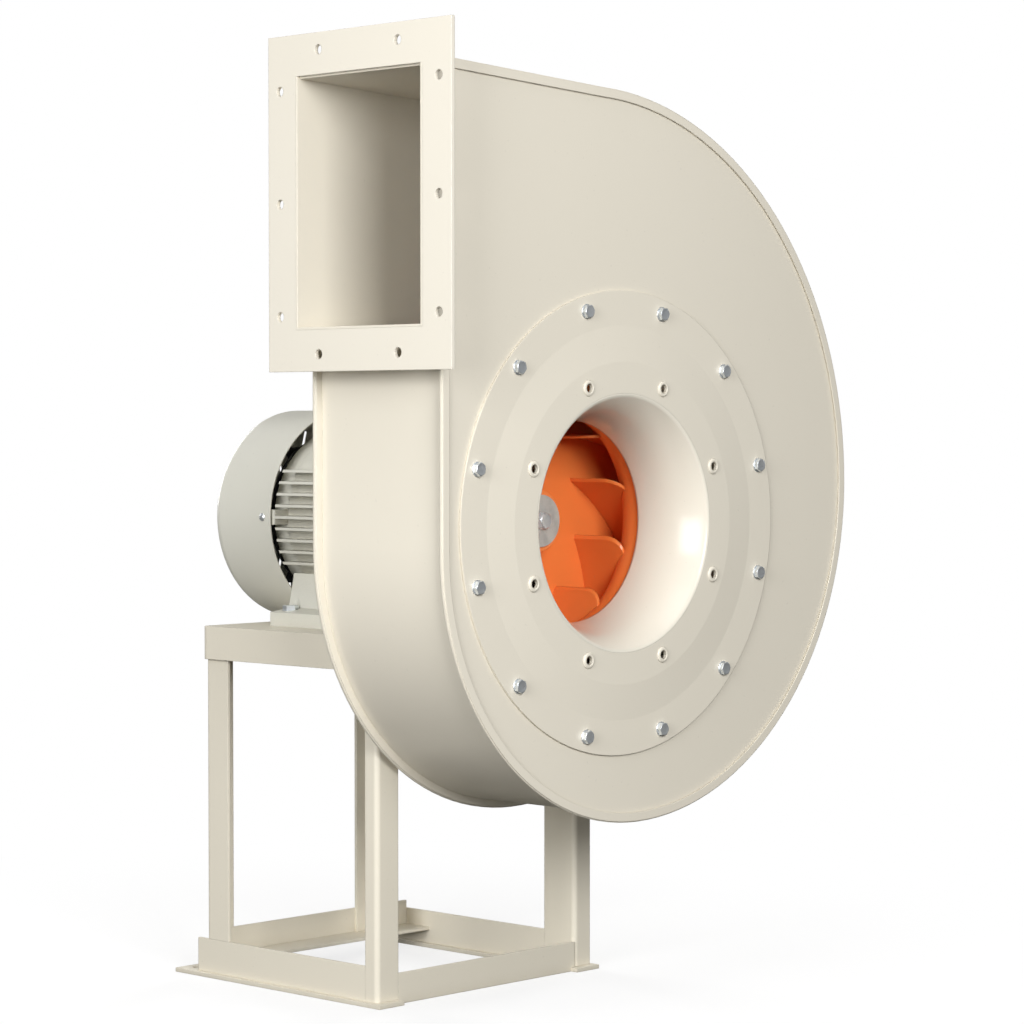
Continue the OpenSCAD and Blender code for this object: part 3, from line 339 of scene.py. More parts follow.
def make_metal_grain() -> NodeTree:
    """Builds the group for plated or worked metal: drawn grain, cloudy plating and small stains.

    Returns:
        The group, with outputs Color, Roughness and Height.
    """
    group = GroupMaker("metal_grain", {"Color": WHITE, "Tint": WHITE, "Grain Scale": 300.0,
                                       "Roughness": 0.3})
    tree = group.tree
    clouds = remap(tree, object_noise(tree, 60.0, 3.0), 0.35, 0.65, 0.0, 1.0)
    colour = blend_colours(tree, clouds, group.read("Color"), group.read("Tint"))
    stains = remap(tree, object_noise(tree, 210.0, 4.0, 0.7), 0.60, 0.75, 0.0, 0.4)
    colour = blend_colours(tree, stains, colour, STAIN_COLOUR)
    group.gives("Color", "Color", colour)
    grain = object_noise(tree, group.read("Grain Scale"), 3.0, 0.6, (1.0, 0.08, 1.0))
    spread = remap(tree, grain, 0.3, 0.7, -0.06, 0.12)
    group.gives("Roughness", "Float",
                calculate(tree, "ADD", group.read("Roughness"), spread, clamp=True))
    group.gives("Height", "Float", grain)
    return tree


class Groups:
    """The shader groups, each built once."""

    def __init__(self) -> None:
        """Builds every group."""
        self.paint_skin = make_paint_skin()
        self.edge_wear = make_edge_wear()
        self.corner_shade_and_grime = make_corner_shade_and_grime()
        self.metal_grain = make_metal_grain()


# Finishes


def start_material(name: str) -> tuple[Material, NodeTree, Node]:
    """Makes a material with one surface shader.

    Args:
        name: The material's name.

    Returns:
        The material, its node tree and its surface shader.
    """
    material = bpy.data.materials.new(name)
    material.use_nodes = True
    tree = material.node_tree
    tree.nodes.clear()
    out = tree.nodes.new("ShaderNodeOutputMaterial")
    surface = tree.nodes.new("ShaderNodeBsdfPrincipled")
    tree.links.new(surface.outputs["BSDF"], out.inputs["Surface"])
    return material, tree, surface


@dataclass(frozen=True)
class SprayedPaint:
    """Semi-gloss sprayed paint over steel or cast iron.

    Attributes:
        name: The material's name.
        colour: The paint's colour.
        shade: The colour of its cloudier parts.
        roughness: The paint's roughness.
        cloudiness: How much the tone varies.
        peel_scale: Cells of orange peel per metre.
        peel_depth: Depth of the orange peel, in metres.
        edge_radius: How far edges are rounded, in metres.
        wear: How much bare primer shows at the edges.
        worn: The colour that shows where the paint is worn.
        grime: How strongly painted shade, mottled like grime, darkens the corners.
        shade_and_grime_reach: How far the painted corner shade reaches, in metres.
        casting_scale: Cells of cast texture per metre under the paint, or 0 for sheet.
        casting_depth: Depth of the cast texture, in metres.
        dust_roughening: How much rougher settled dust makes the paint.
        sheen: The paint's specular level.
    """

    name: str
    colour: Colour
    shade: Colour
    roughness: float = 0.32
    cloudiness: float = 0.5
    peel_scale: float = 420.0
    peel_depth: float = 0.00006
    edge_radius: float = 0.0014
    wear: float = 0.25
    worn: Colour = (0.50, 0.47, 0.42, 1.0)
    grime: float = 0.35
    shade_and_grime_reach: float = 0.02
    casting_scale: float = 0.0
    casting_depth: float = 0.0006
    dust_roughening: float = 0.12
    sheen: float = 0.45

    def build(self, groups: Groups) -> Material:
        """Makes the material.

        Args:
            groups: The shader groups.

        Returns:
            The finished material.
        """
        material, tree, surface = start_material(self.name)
        skin = add_node(tree, "Group", {
            "Color": self.colour, "Shade Color": self.shade, "Cloudiness": self.cloudiness,
            "Peel Scale": self.peel_scale, "Roughness": self.roughness},
                        node_tree=groups.paint_skin)
        wear = add_node(tree, "Group", {"Radius": self.edge_radius, "Amount": self.wear},
                        node_tree=groups.edge_wear)
        grime = add_node(tree, "Group", {"Reach": self.shade_and_grime_reach, "Amount": self.grime},
                         node_tree=groups.corner_shade_and_grime)
        colour = blend_colours(tree, wear.outputs["Mask"], skin.outputs["Color"], self.worn)
        # Painted shade: corners that ambient occlusion finds are multiplied darker, mottled like
        # grime.
        colour = blend_colours(tree, grime.outputs["Grime"], colour, SHADE_AND_GRIME_TINT, "MULTIPLY")
        tree.links.new(colour, surface.inputs["Base Color"])
        rough = calculate(tree, "MULTIPLY_ADD", grime.outputs["Dust"], self.dust_roughening,
                          skin.outputs["Roughness"], clamp=True)
        tree.links.new(rough, surface.inputs["Roughness"])
        normal = wear.outputs["Normal"]
        if self.casting_scale:
            cast = object_noise(tree, self.casting_scale, 4.0, 0.6)
            normal = add_relief(tree, cast, normal, 0.55, self.casting_depth)
        normal = add_relief(tree, skin.outputs["Height"], normal, 0.5, self.peel_depth)
        tree.links.new(normal, surface.inputs["Normal"])
        surface.inputs["Specular IOR Level"].default_value = self.sheen
        return material


@dataclass(frozen=True)
class WorkedMetal:
    """Bare or plated metal with a grain.

    Attributes:
        name: The material's name.
        colour: The metal's colour.
        tint: The colour of its cloudier parts.
        roughness: The metal's roughness.
        grain_scale: Cells of grain per metre.
        grain_depth: Depth of the grain, in metres.
        edge_radius: How far edges are rounded, in metres.
        edge_shine: How much lighter rubbed edges are.
        stripes: Stripes per metre along the shaft, for stacked sheets or wire, or 0 for none.
        stripe_depth: Depth of the gaps between the stripes, in metres.
        stripe_shade: How much of the metal's lightness is left in the gaps.
        metallic: 1 for bare metal, less under varnish.
    """

    name: str
    colour: Colour
    tint: Colour
    roughness: float = 0.28
    grain_scale: float = 320.0
    grain_depth: float = 0.00003
    edge_radius: float = 0.0004
    edge_shine: float = 1.2
    stripes: float = 0.0
    stripe_depth: float = 0.0004
    stripe_shade: float = 0.45
    metallic: float = 1.0

    def scaled(self, share: float) -> Colour:
        """Returns the metal's colour, made lighter or darker.

        Args:
            share: What each part of the colour is multiplied by.

        Returns:
            The new colour, no part of it over 1.
        """
        return tuple(min(1.0, part * share) for part in self.colour[:3]) + (1.0,)

    def build(self, groups: Groups) -> Material:
        """Makes the material.

        Args:
            groups: The shader groups.

        Returns:
            The finished material.
        """
        material, tree, surface = start_material(self.name)
        grain = add_node(tree, "Group", {
            "Color": self.colour, "Tint": self.tint, "Grain Scale": self.grain_scale,
            "Roughness": self.roughness},
                         node_tree=groups.metal_grain)
        wear = add_node(tree, "Group", {"Radius": self.edge_radius, "Amount": 0.5},
                        node_tree=groups.edge_wear)
        colour = blend_colours(tree, wear.outputs["Mask"], grain.outputs["Color"],
                               self.scaled(self.edge_shine))
        normal = wear.outputs["Normal"]
        if self.stripes:
            where = add_node(tree, "TexCoord").outputs["Object"]
            wave = add_node(tree, "TexWave", {"Vector": where, "Scale": self.stripes,
                                              "Distortion": 0.4, "Detail": 1.0,
                                              "Detail Scale": 1.0},
                            bands_direction="Y")
            gaps = remap(tree, wave.outputs["Fac"], 0.2, 0.9, 0.6, 0.0)
            colour = blend_colours(tree, gaps, colour, self.scaled(self.stripe_shade))
            normal = add_relief(tree, wave.outputs["Fac"], normal, 0.6, self.stripe_depth)
        tree.links.new(colour, surface.inputs["Base Color"])
        tree.links.new(grain.outputs["Roughness"], surface.inputs["Roughness"])
        normal = add_relief(tree, grain.outputs["Height"], normal, 0.4, self.grain_depth)
        tree.links.new(normal, surface.inputs["Normal"])
        surface.inputs["Metallic"].default_value = self.metallic
        return material


@dataclass(frozen=True)
class MouldedPlastic:
    """Matt moulded plastic.

    Attributes:
        name: The material's name.
        colour: The plastic's colour.
        shade: The colour of its scuffed parts.
        roughness: The plastic's roughness.
        grain_scale: Cells of moulded grain per metre.
        grain_depth: Depth of the grain, in metres.
        edge_radius: How far edges are rounded, in metres.
    """

    name: str
    colour: Colour
    shade: Colour
    roughness: float = 0.5
    grain_scale: float = 1100.0
    grain_depth: float = 0.00008
    edge_radius: float = 0.0006

    def build(self, groups: Groups) -> Material:
        """Makes the material.

        Args:
            groups: The shader groups.

        Returns:
            The finished material.
        """
        material, tree, surface = start_material(self.name)
        skin = add_node(tree, "Group", {
            "Color": self.colour, "Shade Color": self.shade, "Cloudiness": 0.8,
            "Peel Scale": self.grain_scale, "Roughness": self.roughness},
                        node_tree=groups.paint_skin)
        wear = add_node(tree, "Group", {"Radius": self.edge_radius, "Amount": 0.35,
                                        "Grit Scale": 160.0},
                        node_tree=groups.edge_wear)
        colour = blend_colours(tree, wear.outputs["Mask"], skin.outputs["Color"], SCUFF_COLOUR)
        tree.links.new(colour, surface.inputs["Base Color"])
        tree.links.new(skin.outputs["Roughness"], surface.inputs["Roughness"])
        normal = add_relief(tree, skin.outputs["Height"], wear.outputs["Normal"], 0.6,
                            self.grain_depth)
        tree.links.new(normal, surface.inputs["Normal"])
        return material


# Mesh helpers


def lathe(mesh: BMesh, profile: list[tuple[float, float]], place: Matrix, sides: int = 48,
          ring: bool = False) -> None:
    """Turns a profile about +Z into smooth faces.

    Args:
        mesh: The mesh that gets the faces.
        profile: Points of radius and height, from the bottom up.
        place: Where the turned shape goes.
        sides: How many sides the turned shape has.
        ring: Whether the profile closes on itself, round a hole.
    """
    angles = [2 * math.pi * k / sides for k in range(sides)]
    rings = []
    for radius, height in profile:
        if radius <= 0.0:
            rings.append([mesh.verts.new(place @ Vector((0.0, 0.0, height)))])
            continue
        rings.append([mesh.verts.new(place @ Vector((radius * math.cos(a), radius * math.sin(a),
                                                     height))) for a in angles])
    if ring:
        rings.append(rings[0])
    for low, high in zip(rings, rings[1:]):
        for k in range(sides):
            after = (k + 1) % sides
            if len(low) == 1:
                face = mesh.faces.new((low[0], high[k], high[after]))
            elif len(high) == 1:
                face = mesh.faces.new((low[k], high[0], low[after]))
            else:
                face = mesh.faces.new((low[k], high[k], high[after], low[after]))
            face.smooth = True


def ring_spots(radius: float, count: int, y: float) -> list[Vector]:
    """Works out evenly spaced points on a ring about the shaft, the first half a step above +X.

    Args:
        radius: The ring's radius.
        count: Number of points.
        y: Where the ring lies along the shaft.

    Returns:
        The points.
    """
    angles = [2 * math.pi * (k + 0.5) / count for k in range(count)]
    return [Vector((radius * math.cos(a), y, SHAFT_Z + radius * math.sin(a))) for a in angles]


def finish_mesh(name: str, mesh: BMesh) -> Object:
    """Turns a mesh under construction into a linked object.

    Args:
        name: The piece's name.
        mesh: The mesh, which is freed.

    Returns:
        The new object.
    """
    bmesh.ops.recalc_face_normals(mesh, faces=mesh.faces)
    data = bpy.data.meshes.new(name)
    mesh.to_mesh(data)
    mesh.free()
    made = bpy.data.objects.new(name, data)
    bpy.context.scene.collection.objects.link(made)
    return made


# Fasteners


@dataclass(frozen=True)
class FastenerSize:
    """The sizes of one kind of fastener, in metres.

    Attributes:
        shank_r: Radius of the thread.
        shank_len: Length below the head's seat.
        head_r: Radius over the head's corners, or of a round head.
        head_h: Height of the head.
        washer_r: Radius of the washer, or 0 for none.
        washer_h: Thickness of the washer.
        pitch: Pitch of the thread.
        crown_share: A hexagon head's crown radius as a share of the radius over its flats.
        crown_slope: Slope of the chamfer at the crown's corners, in radians.
    """

    shank_r: float
    shank_len: float
    head_r: float
    head_h: float
    washer_r: float = 0.0
    washer_h: float = 0.0
    pitch: float = 0.00125
    crown_share: float = 0.94
    crown_slope: float = math.radians(28)

    def hexagon_head(self, mesh: BMesh, place: Matrix) -> None:
        """Adds a hexagon head with its chamfered crown.

        Args:
            mesh: The mesh that gets the head.
            place: Where the head's underside sits.
        """
        steps = 8  # points along one flat
        sector, half = math.pi / 3, math.pi / 6
        flat_r = self.head_r * math.cos(half)
        crown_r = flat_r * self.crown_share
        around = []
        for k in range(6 * steps):
            turn = (k % steps) / steps * sector - half
            around.append((k / steps * sector - half, flat_r / math.cos(turn)))
        corners = [r for _, r in around]
        count = len(around)

        def level(reaches: list[float], heights: list[float]) -> list[BMVert]:
            """Makes one ring of points.

            Args:
                reaches: Distance of each point from the axis.
                heights: Height of each point.

            Returns:
                The points, in order round the axis.
            """
            return [mesh.verts.new(place @ Vector((r * math.cos(a), r * math.sin(a), z)))
                    for (a, _), r, z in zip(around, reaches, heights)]

        rings = [level([r * reach for r in corners], [self.head_h * share] * count)
                 for share, reach in ((0.0, 0.985), (0.03, 1.0))]
        rings.append(level(corners, [self.head_h - (r - crown_r) * math.tan(self.crown_slope)
                                     for r in corners]))
        for reach, share in ((1.0, 1.0), (0.93, 1.0), (0.55, 0.965)):
            rings.append(level([crown_r * reach] * count, [self.head_h * share] * count))
        for low, high in zip(rings, rings[1:]):
            for k in range(count):
                mesh.faces.new((low[k], high[k], high[(k + 1) % count], low[(k + 1) % count]))
        mesh.faces.new(rings[-1])
        mesh.faces.new(list(reversed(rings[0])))

    def round_head(self, mesh: BMesh, place: Matrix) -> None:
        """Adds a domed head with a cross recess.

        Args:
            mesh: The mesh that gets the head.
            place: Where the head's underside sits.
        """
        r, h = self.head_r, self.head_h
        dome = ((0.0, 0.0), (0.97, 0.0), (1.0, 0.08), (0.99, 0.35), (0.90, 0.68), (0.68, 0.9),
                (0.4, 1.0), (0.30, 1.0), (0.12, 0.45), (0.0, 0.4))
        lathe(mesh, [(r * x, h * z) for x, z in dome], place)
        for turn in (0.0, math.pi / 2):
            arm = place @ Matrix.Rotation(turn, 4, "Z")
            verts = [mesh.verts.new(arm @ Vector((x * along * r, y * across * r, z * h)))
                     for along, across, z in ((0.55, 0.09, 0.982), (0.2, 0.05, 0.512))
                     for x, y in ((-1, -1), (1, -1), (1, 1), (-1, 1))]
            for quad in ((4, 5, 6, 7), (0, 1, 5, 4), (1, 2, 6, 5), (2, 3, 7, 6), (3, 0, 4, 7),
                         (3, 2, 1, 0)):
                mesh.faces.new([verts[k] for k in quad])

    def washer(self, mesh: BMesh, place: Matrix) -> None:
        """Adds the flat washer under the head.

        Args:
            mesh: The mesh that gets the washer.
            place: Where the washer lies.
        """
        r, h = self.washer_r, self.washer_h
        lathe(mesh, [(self.shank_r, 0.0), (r * 0.985, 0.0), (r, h * 0.2), (r, h * 0.75),
                     (r * 0.98, h), (self.shank_r, h)], place)

    def shank(self, mesh: BMesh, place: Matrix) -> None:
        """Adds the threaded shank, which runs down from the head's seat.

        Args:
            mesh: The mesh that gets the shank.
            place: Where the head's seat is.
        """
        r = self.shank_r * 0.995
        points = [(0.0, -self.shank_len), (r * 0.72, -self.shank_len),
                  (r * 0.9, -self.shank_len + self.pitch * 0.8)]
        threaded = min(self.shank_len * 0.75, 0.02)
        turns = max(1, int(threaded / self.pitch) - 1)
        start = -self.shank_len + self.pitch
        for k in range(turns):
            points += [(r, start + self.pitch * (k + 0.25)), (r, start + self.pitch * (k + 0.4)),
                       (r * 0.88, start + self.pitch * (k + 0.8))]
        points += [(r, start + self.pitch * (turns + 0.3)), (r, 0.0), (0.0, 0.0)]
        lathe(mesh, points, place, sides=24)

    def add_to(self, mesh: BMesh, spot: Vector, axis: Axis, turn: float, drive: Drive) -> None:
        """Adds one whole fastener.

        Args:
            mesh: The mesh that gets the fastener.
            spot: Where its washer or head sits.
            axis: The way its head points.
            turn: Rotation about its own axis, in radians.
            drive: The head's shape.
        """
        place = axis.matrix(spot, turn)
        raised = place @ Matrix.Translation((0.0, 0.0, self.washer_h))
        if self.washer_r:
            self.washer(mesh, place)
        if drive is Drive.HEXAGON:
            self.hexagon_head(mesh, raised)
        else:
            self.round_head(mesh, raised)
        self.shank(mesh, place)


@dataclass
class FastenerSet:
    """A group of equal fasteners that share one node.

    Attributes:
        name: The piece's name.
        node: The node that the piece stands for.
        body: The body that it moves with.
        size: The fastener's sizes.
        axis: The way the heads point.
        spots: Where they sit.
        drive: The heads' shape.
        slot: The material slot; not used.
        finish: The material.
        turns: Rotation of each head, in turns.
    """

    name: str
    node: str
    body: str
    size: FastenerSize
    axis: Axis
    spots: list[Vector]
    drive: Drive
    slot: str
    finish: Material
    turns: tuple[float, ...] = (0.02, 0.13, 0.07, 0.10, 0.04, 0.15, 0.09)

    def build(self) -> Object:
        """Makes the fasteners and puts them in their node's place.

        Returns:
            The new piece.
        """
        mesh = bmesh.new()
        for k, spot in enumerate(self.spots):
            turn = self.turns[k % len(self.turns)] * 2 * math.pi
            self.size.add_to(mesh, spot, self.axis, turn, self.drive)
        piece = finish_mesh(self.name, mesh)
        piece.data.materials.append(self.finish)
        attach(piece, self.body)
        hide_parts(self.node)
        return piece


# Sub-assemblies


Finish = SprayedPaint | WorkedMetal | MouldedPlastic


@dataclass
class SubAssembly:
    """A sub-assembly that gets finishes of its own.

    Attributes:
        nodes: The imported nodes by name.
        groups: The shader groups.
    """

    nodes: dict[str, Object]
    groups: Groups

    def assign(self, names: list[str], material: Material) -> None:
        """Assigns one material to several nodes.

        Args:
            names: The nodes.
            material: The material.
        """
        for name in names:
            node = self.nodes[name]
            if not node.material_slots:
                node.data.materials.append(material)
            for slot in node.material_slots:
                slot.material = material
            LOG.info("%s wears %s", name, material.name)

    def coat(self, names: list[str], finish: Finish) -> None:
        """Builds a finish and assigns it to several nodes.

        Args:
            names: The nodes.
            finish: The finish.
        """
        self.assign(names, finish.build(self.groups))


@dataclass
class Casing(SubAssembly):
    """The scroll casing with its outlet flange, inlet disc and inlet cone.

    Attributes:
        disc_face_y: The inlet disc's front face.
        bolt_ring: Radius of the ring of disc bolts.
        bolt_count: Number of disc bolts.
        bolt: Size of a disc bolt.
    """

    disc_face_y: float = MIDDLE_Y - 0.103
    bolt_ring: float = 0.248
    bolt_count: int = 12
    bolt: FastenerSize = FastenerSize(shank_r=0.004, shank_len=0.0144, head_r=0.008, head_h=0.0052,
                                      washer_r=0.0084, washer_h=0.0012)

    def dress(self) -> None:
        """Paints the sheet parts."""
        self.coat(["front_side_plate", "back_side_plate", "scroll_wrapper", "cutoff_tongue"],
                  SprayedPaint("casing_cream", CREAM, (0.700, 0.655, 0.555, 1.0), roughness=0.33))
        self.coat(["outlet_flange"], SprayedPaint(
            "flange_cream", (0.735, 0.695, 0.605, 1.0), (0.710, 0.670, 0.580, 1.0), roughness=0.34,
            wear=0.35, worn=(0.52, 0.50, 0.46, 1.0)))
        paint = SprayedPaint("disc_cream", CREAM, (0.710, 0.665, 0.565, 1.0), roughness=0.33,
                             peel_scale=380.0).build(self.groups)
        self.assign(["inlet_disc", "inlet_cone"], paint)
        inlet = Inlet(self.groups, paint)
        inlet.build_cone()
        inlet.build_collars()

    def fasten(self, zinc: Material) -> None:
        """Builds the ring of disc bolts and plates the hidden fasteners.

        Args:
            zinc: The plated finish.
        """
        spots = ring_spots(self.bolt_ring, self.bolt_count, self.disc_face_y)
        FastenerSet("disc_bolt_ring", "inlet_disc_bolts", "housing", self.bolt, Axis.INLET, spots,
                    Drive.HEXAGON, "zinc", zinc).build()
        self.assign(["inlet_disc_nuts", "seal_plate_screws", "shaft_seal_plate", "casing_spacers",
                     "casing_bolts", "casing_nuts"], zinc)


@dataclass
class Inlet:
    """The spun inlet cone with its rounded lip, and the pressed collars round the duct holes.

    Attributes:
        groups: The shader groups.
        paint: The disc's paint.
        lip_y: Where the disc's inner face lies.
        lip_r: Radius at which the lip starts to turn in.
        fillet_r: Radius of the lip's rounding.
        throat_r: Radius of the throat.
        throat_y: Where the cone ends.
        sheet: Thickness of the cone.
        hole_ring: Radius of the ring of duct holes.
        hole_count: Number of duct holes.
        hole_r: Radius of a duct hole.
        lip_steps: Steps round the lip's rounding.
        bell_steps: Steps along the cone's curve.
    """

    groups: Groups
    paint: Material
    lip_y: float = MIDDLE_Y - 0.106
    lip_r: float = 0.148
    fillet_r: float = 0.006
    throat_r: float = 0.117
    throat_y: float = MIDDLE_Y - 0.020
    sheet: float = 0.002
    hole_ring: float = 0.166
    hole_count: int = 8
    hole_r: float = 0.005
    lip_steps: int = 8
    bell_steps: int = 32

    def cone_profile(self) -> list[tuple[float, float]]:
        """Works out the closed outline of the cone's wall.

        Returns:
            Points of radius and position along the shaft.
        """
        centre_y = self.lip_y + self.fillet_r
        rise, run = self.lip_r - self.throat_r, self.throat_y - centre_y
        bell_r = (rise ** 2 + run ** 2 - self.fillet_r ** 2) / (2 * (rise - self.fillet_r))
        meet = math.asin(run / (bell_r - self.fillet_r))
        flow, back = [], []
        for k in range(self.lip_steps + 1):
            turn = meet + (math.pi / 2 - meet) * (1 - k / self.lip_steps)
            for side, radius in ((flow, self.fillet_r), (back, self.fillet_r - self.sheet)):
                side.append((self.lip_r - radius * math.cos(turn),
                             centre_y - radius * math.sin(turn)))
        for k in range(1, self.bell_steps + 1):
            turn = meet * (1 - k / self.bell_steps)
            for side, radius in ((flow, bell_r), (back, bell_r - self.sheet)):
                side.append((self.throat_r + bell_r - radius * math.cos(turn),
                             self.throat_y - radius * math.sin(turn)))
        return flow + back[::-1]

    def build_cone(self) -> None:
        """Builds the cone as one smooth spinning."""
        about = Matrix.Translation((0.0, 0.0, SHAFT_Z)) @ Matrix.Rotation(-math.pi / 2, 4, "X")
        mesh = bmesh.new()
        lathe(mesh, self.cone_profile(), about, sides=160, ring=True)
        cone = finish_mesh("spun_cone", mesh)
        finish = SprayedPaint("cone_cream", (0.750, 0.710, 0.615, 1.0), (0.735, 0.692, 0.597, 1.0),
                              roughness=0.17, edge_radius=0.0006, wear=0.0, cloudiness=0.3,
                              peel_depth=0.00003)
        cone.data.materials.append(finish.build(self.groups))
        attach(cone, "housing")
        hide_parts("inlet_cone")

    def build_collars(self) -> None:
        """Builds the pressed collars round the duct holes."""
        mesh = bmesh.new()
        r = self.hole_r
        outline = [(r * 1.01, -0.0002), (r * 1.01, 0.0017), (r * 1.10, 0.0021), (r * 1.45, 0.0021),
                   (r * 1.70, 0.0015), (r * 1.82, 0.0006), (r * 1.95, -0.0002)]
        for spot in ring_spots(self.hole_ring, self.hole_count, self.lip_y):
            lathe(mesh, outline, Axis.INLET.matrix(spot, 0.0), sides=40, ring=True)
        collars = finish_mesh("duct_hole_collars", mesh)
        collars.data.materials.append(self.paint)
        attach(collars, "housing")


@dataclass
class Impeller(SubAssembly):
    """The painted impeller with its hub fastening.

    Attributes:
        washer_face_y: The front face of the hub's washer.
        bolt: Size of the hub bolt.
    """

    washer_face_y: float = MIDDLE_Y + 0.026
    bolt: FastenerSize = FastenerSize(shank_r=0.005, shank_len=0.032, head_r=0.010, head_h=0.0065,
                                      washer_r=0.0105, washer_h=0.0015, pitch=0.0015)

    def dress(self) -> None:
        """Paints the impeller and finishes its washer and key."""
        self.coat(["impeller_shroud", "impeller_blades", "impeller_back_disc", "impeller_hub"],
                  SprayedPaint("impeller_orange", (0.900, 0.245, 0.058, 1.0),
                               (0.850, 0.205, 0.044, 1.0), roughness=0.34, cloudiness=0.6,
                               wear=0.15, worn=(0.45, 0.20, 0.10, 1.0), grime=0.25))
        self.coat(["hub_washer", "hub_key"], WorkedMetal(
            "washer_steel", (0.62, 0.62, 0.59, 1.0), (0.50, 0.51, 0.49, 1.0), roughness=0.50,
            metallic=0.55))

    def fasten(self, zinc: Material) -> None:
        """Builds the hub bolt.

        Args:
            zinc: The plated finish.
        """
        spot = Vector((0.0, self.washer_face_y, SHAFT_Z))
        FastenerSet("hub_hex_bolt", "hub_bolt", "rotor", self.bolt, Axis.INLET, [spot],
                    Drive.HEXAGON, "zinc", zinc, turns=(0.05,)).build()


@dataclass
class Motor(SubAssembly):
    """The foot-mounted motor with its cowl, terminal box and inner parts.

    Attributes:
        foot_top_z: Top of the feet.
        foot_x: Distance of the foot holes from the shaft.
        foot_y: Positions of the foot holes along the shaft.
        foot_bolt: Size of a foot bolt.
        lid_screw: Size of a terminal lid screw.
        lid_inset: How far a lid screw lies in from the lid's edges.
    """

    foot_top_z: float = 0.445
    foot_x: float = 0.108
    foot_y: tuple[float, float] = (MIDDLE_Y + 0.203, MIDDLE_Y + 0.343)
    foot_bolt: FastenerSize = FastenerSize(shank_r=0.005, shank_len=0.0315, head_r=0.010,
                                           head_h=0.0065, washer_r=0.0105, washer_h=0.0015,
                                           pitch=0.0015)
    lid_screw: FastenerSize = FastenerSize(shank_r=0.0025, shank_len=0.030, head_r=0.00475,
                                           head_h=0.0025, pitch=0.0008)
    lid_inset: float = 0.008

    def dress(self) -> None:
        """Paints the castings and finishes the inner parts."""
        self.coat(["motor_frame", "motor_feet", "drive_end_shield", "rear_end_shield",
                   "terminal_box", "terminal_lid"], SprayedPaint(
            "motor_grey", MOTOR_GREY, (0.650, 0.640, 0.565, 1.0), roughness=0.38,
            casting_scale=190.0, peel_scale=520.0, wear=0.2, grime=0.45))
        self.coat(["fan_cowl"], SprayedPaint(
            "motor_grey_sheet", MOTOR_GREY, (0.660, 0.650, 0.575, 1.0), roughness=0.34,
            peel_scale=520.0, wear=0.2))
        self.coat(["motor_shaft", "bearing_outer_rings", "bearing_inner_rings", "bearing_balls"],
                  WorkedMetal("ground_steel", (0.60, 0.60, 0.61, 1.0), (0.54, 0.55, 0.57, 1.0),
                              roughness=0.22))
        self.coat(["rotor_core", "stator_core"], WorkedMetal(
            "sheet_stack", (0.24, 0.25, 0.27, 1.0), (0.20, 0.20, 0.21, 1.0), roughness=0.45,
            stripes=320.0, metallic=0.8))
        self.coat(["stator_windings"], WorkedMetal(
            "varnished_wire", (0.55, 0.22, 0.09, 1.0), (0.46, 0.17, 0.07, 1.0), roughness=0.32,
            stripes=160.0, metallic=0.7))
        self.coat(["cooling_fan"], MouldedPlastic(
            "fan_black", (0.045, 0.046, 0.050, 1.0), (0.065, 0.066, 0.070, 1.0), roughness=0.75))
        self.coat(["cable_gland"], MouldedPlastic(
            "gland_grey", (0.06, 0.06, 0.065, 1.0), (0.09, 0.09, 0.092, 1.0), roughness=0.42))

    def fasten(self, zinc: Material) -> None:
        """Builds the foot bolts and lid screws and plates the rest.

        Args:
            zinc: The plated finish.
        """
        feet = [Vector((side * self.foot_x, y, self.foot_top_z))
                for side in (-1, 1) for y in self.foot_y]
        FastenerSet("foot_bolt_heads", "motor_foot_bolts", "housing", self.foot_bolt, Axis.UP,
                    feet, Drive.HEXAGON, "zinc", zinc).build()
        low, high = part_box("terminal_lid")
        inset = self.lid_inset
        lid = [Vector((x, y, high.z))
               for x in (low.x + inset, high.x - inset) for y in (low.y + inset, high.y - inset)]
        FastenerSet("lid_screw_heads", "terminal_lid_screws", "housing", self.lid_screw, Axis.UP,
                    lid, Drive.CROSS, "zinc", zinc).build()
        self.assign(["cowl_screws", "motor_foot_nuts"], zinc)


@dataclass
class Pedestal(SubAssembly):
    """The folded tray on its bent posts, rails and sole plates."""

    def dress(self) -> None:
        """Paints the pedestal."""
        self.coat(["motor_tray", "post_near_left", "post_rear_left", "post_right",
                   "post_rear_right", "side_rail_left", "side_rail_right", "cross_rail_front",
                   "cross_rail_rear", "sole_plates"], SprayedPaint(
            "pedestal_cream", (0.715, 0.670, 0.565, 1.0), (0.680, 0.635, 0.530, 1.0),
            roughness=0.36, edge_radius=0.0016, wear=0.45, grime=0.45, shade_and_grime_reach=0.03))


# Studio


@dataclass(frozen=True)
class Softbox:
    """A square soft light.

    Attributes:
        name: The light's name.
        spot: Where it stands.
        size: Its side, in metres.
        power: Its power, in watts.
    """

    name: str
    spot: Point
    size: float
    power: float

    def hang(self, aim: Point) -> None:
        """Adds the light to the scene.

        Args:
            aim: What it points at.
        """
        data = bpy.data.lights.new(self.name, "AREA")
        data.energy, data.size = self.power, self.size
        lamp = bpy.data.objects.new(self.name, data)
        lamp.location = self.spot
        lamp.rotation_mode = "QUATERNION"
        lamp.rotation_quaternion = (Vector(aim) - Vector(self.spot)).to_track_quat("-Z", "Y")
        bpy.context.scene.collection.objects.link(lamp)


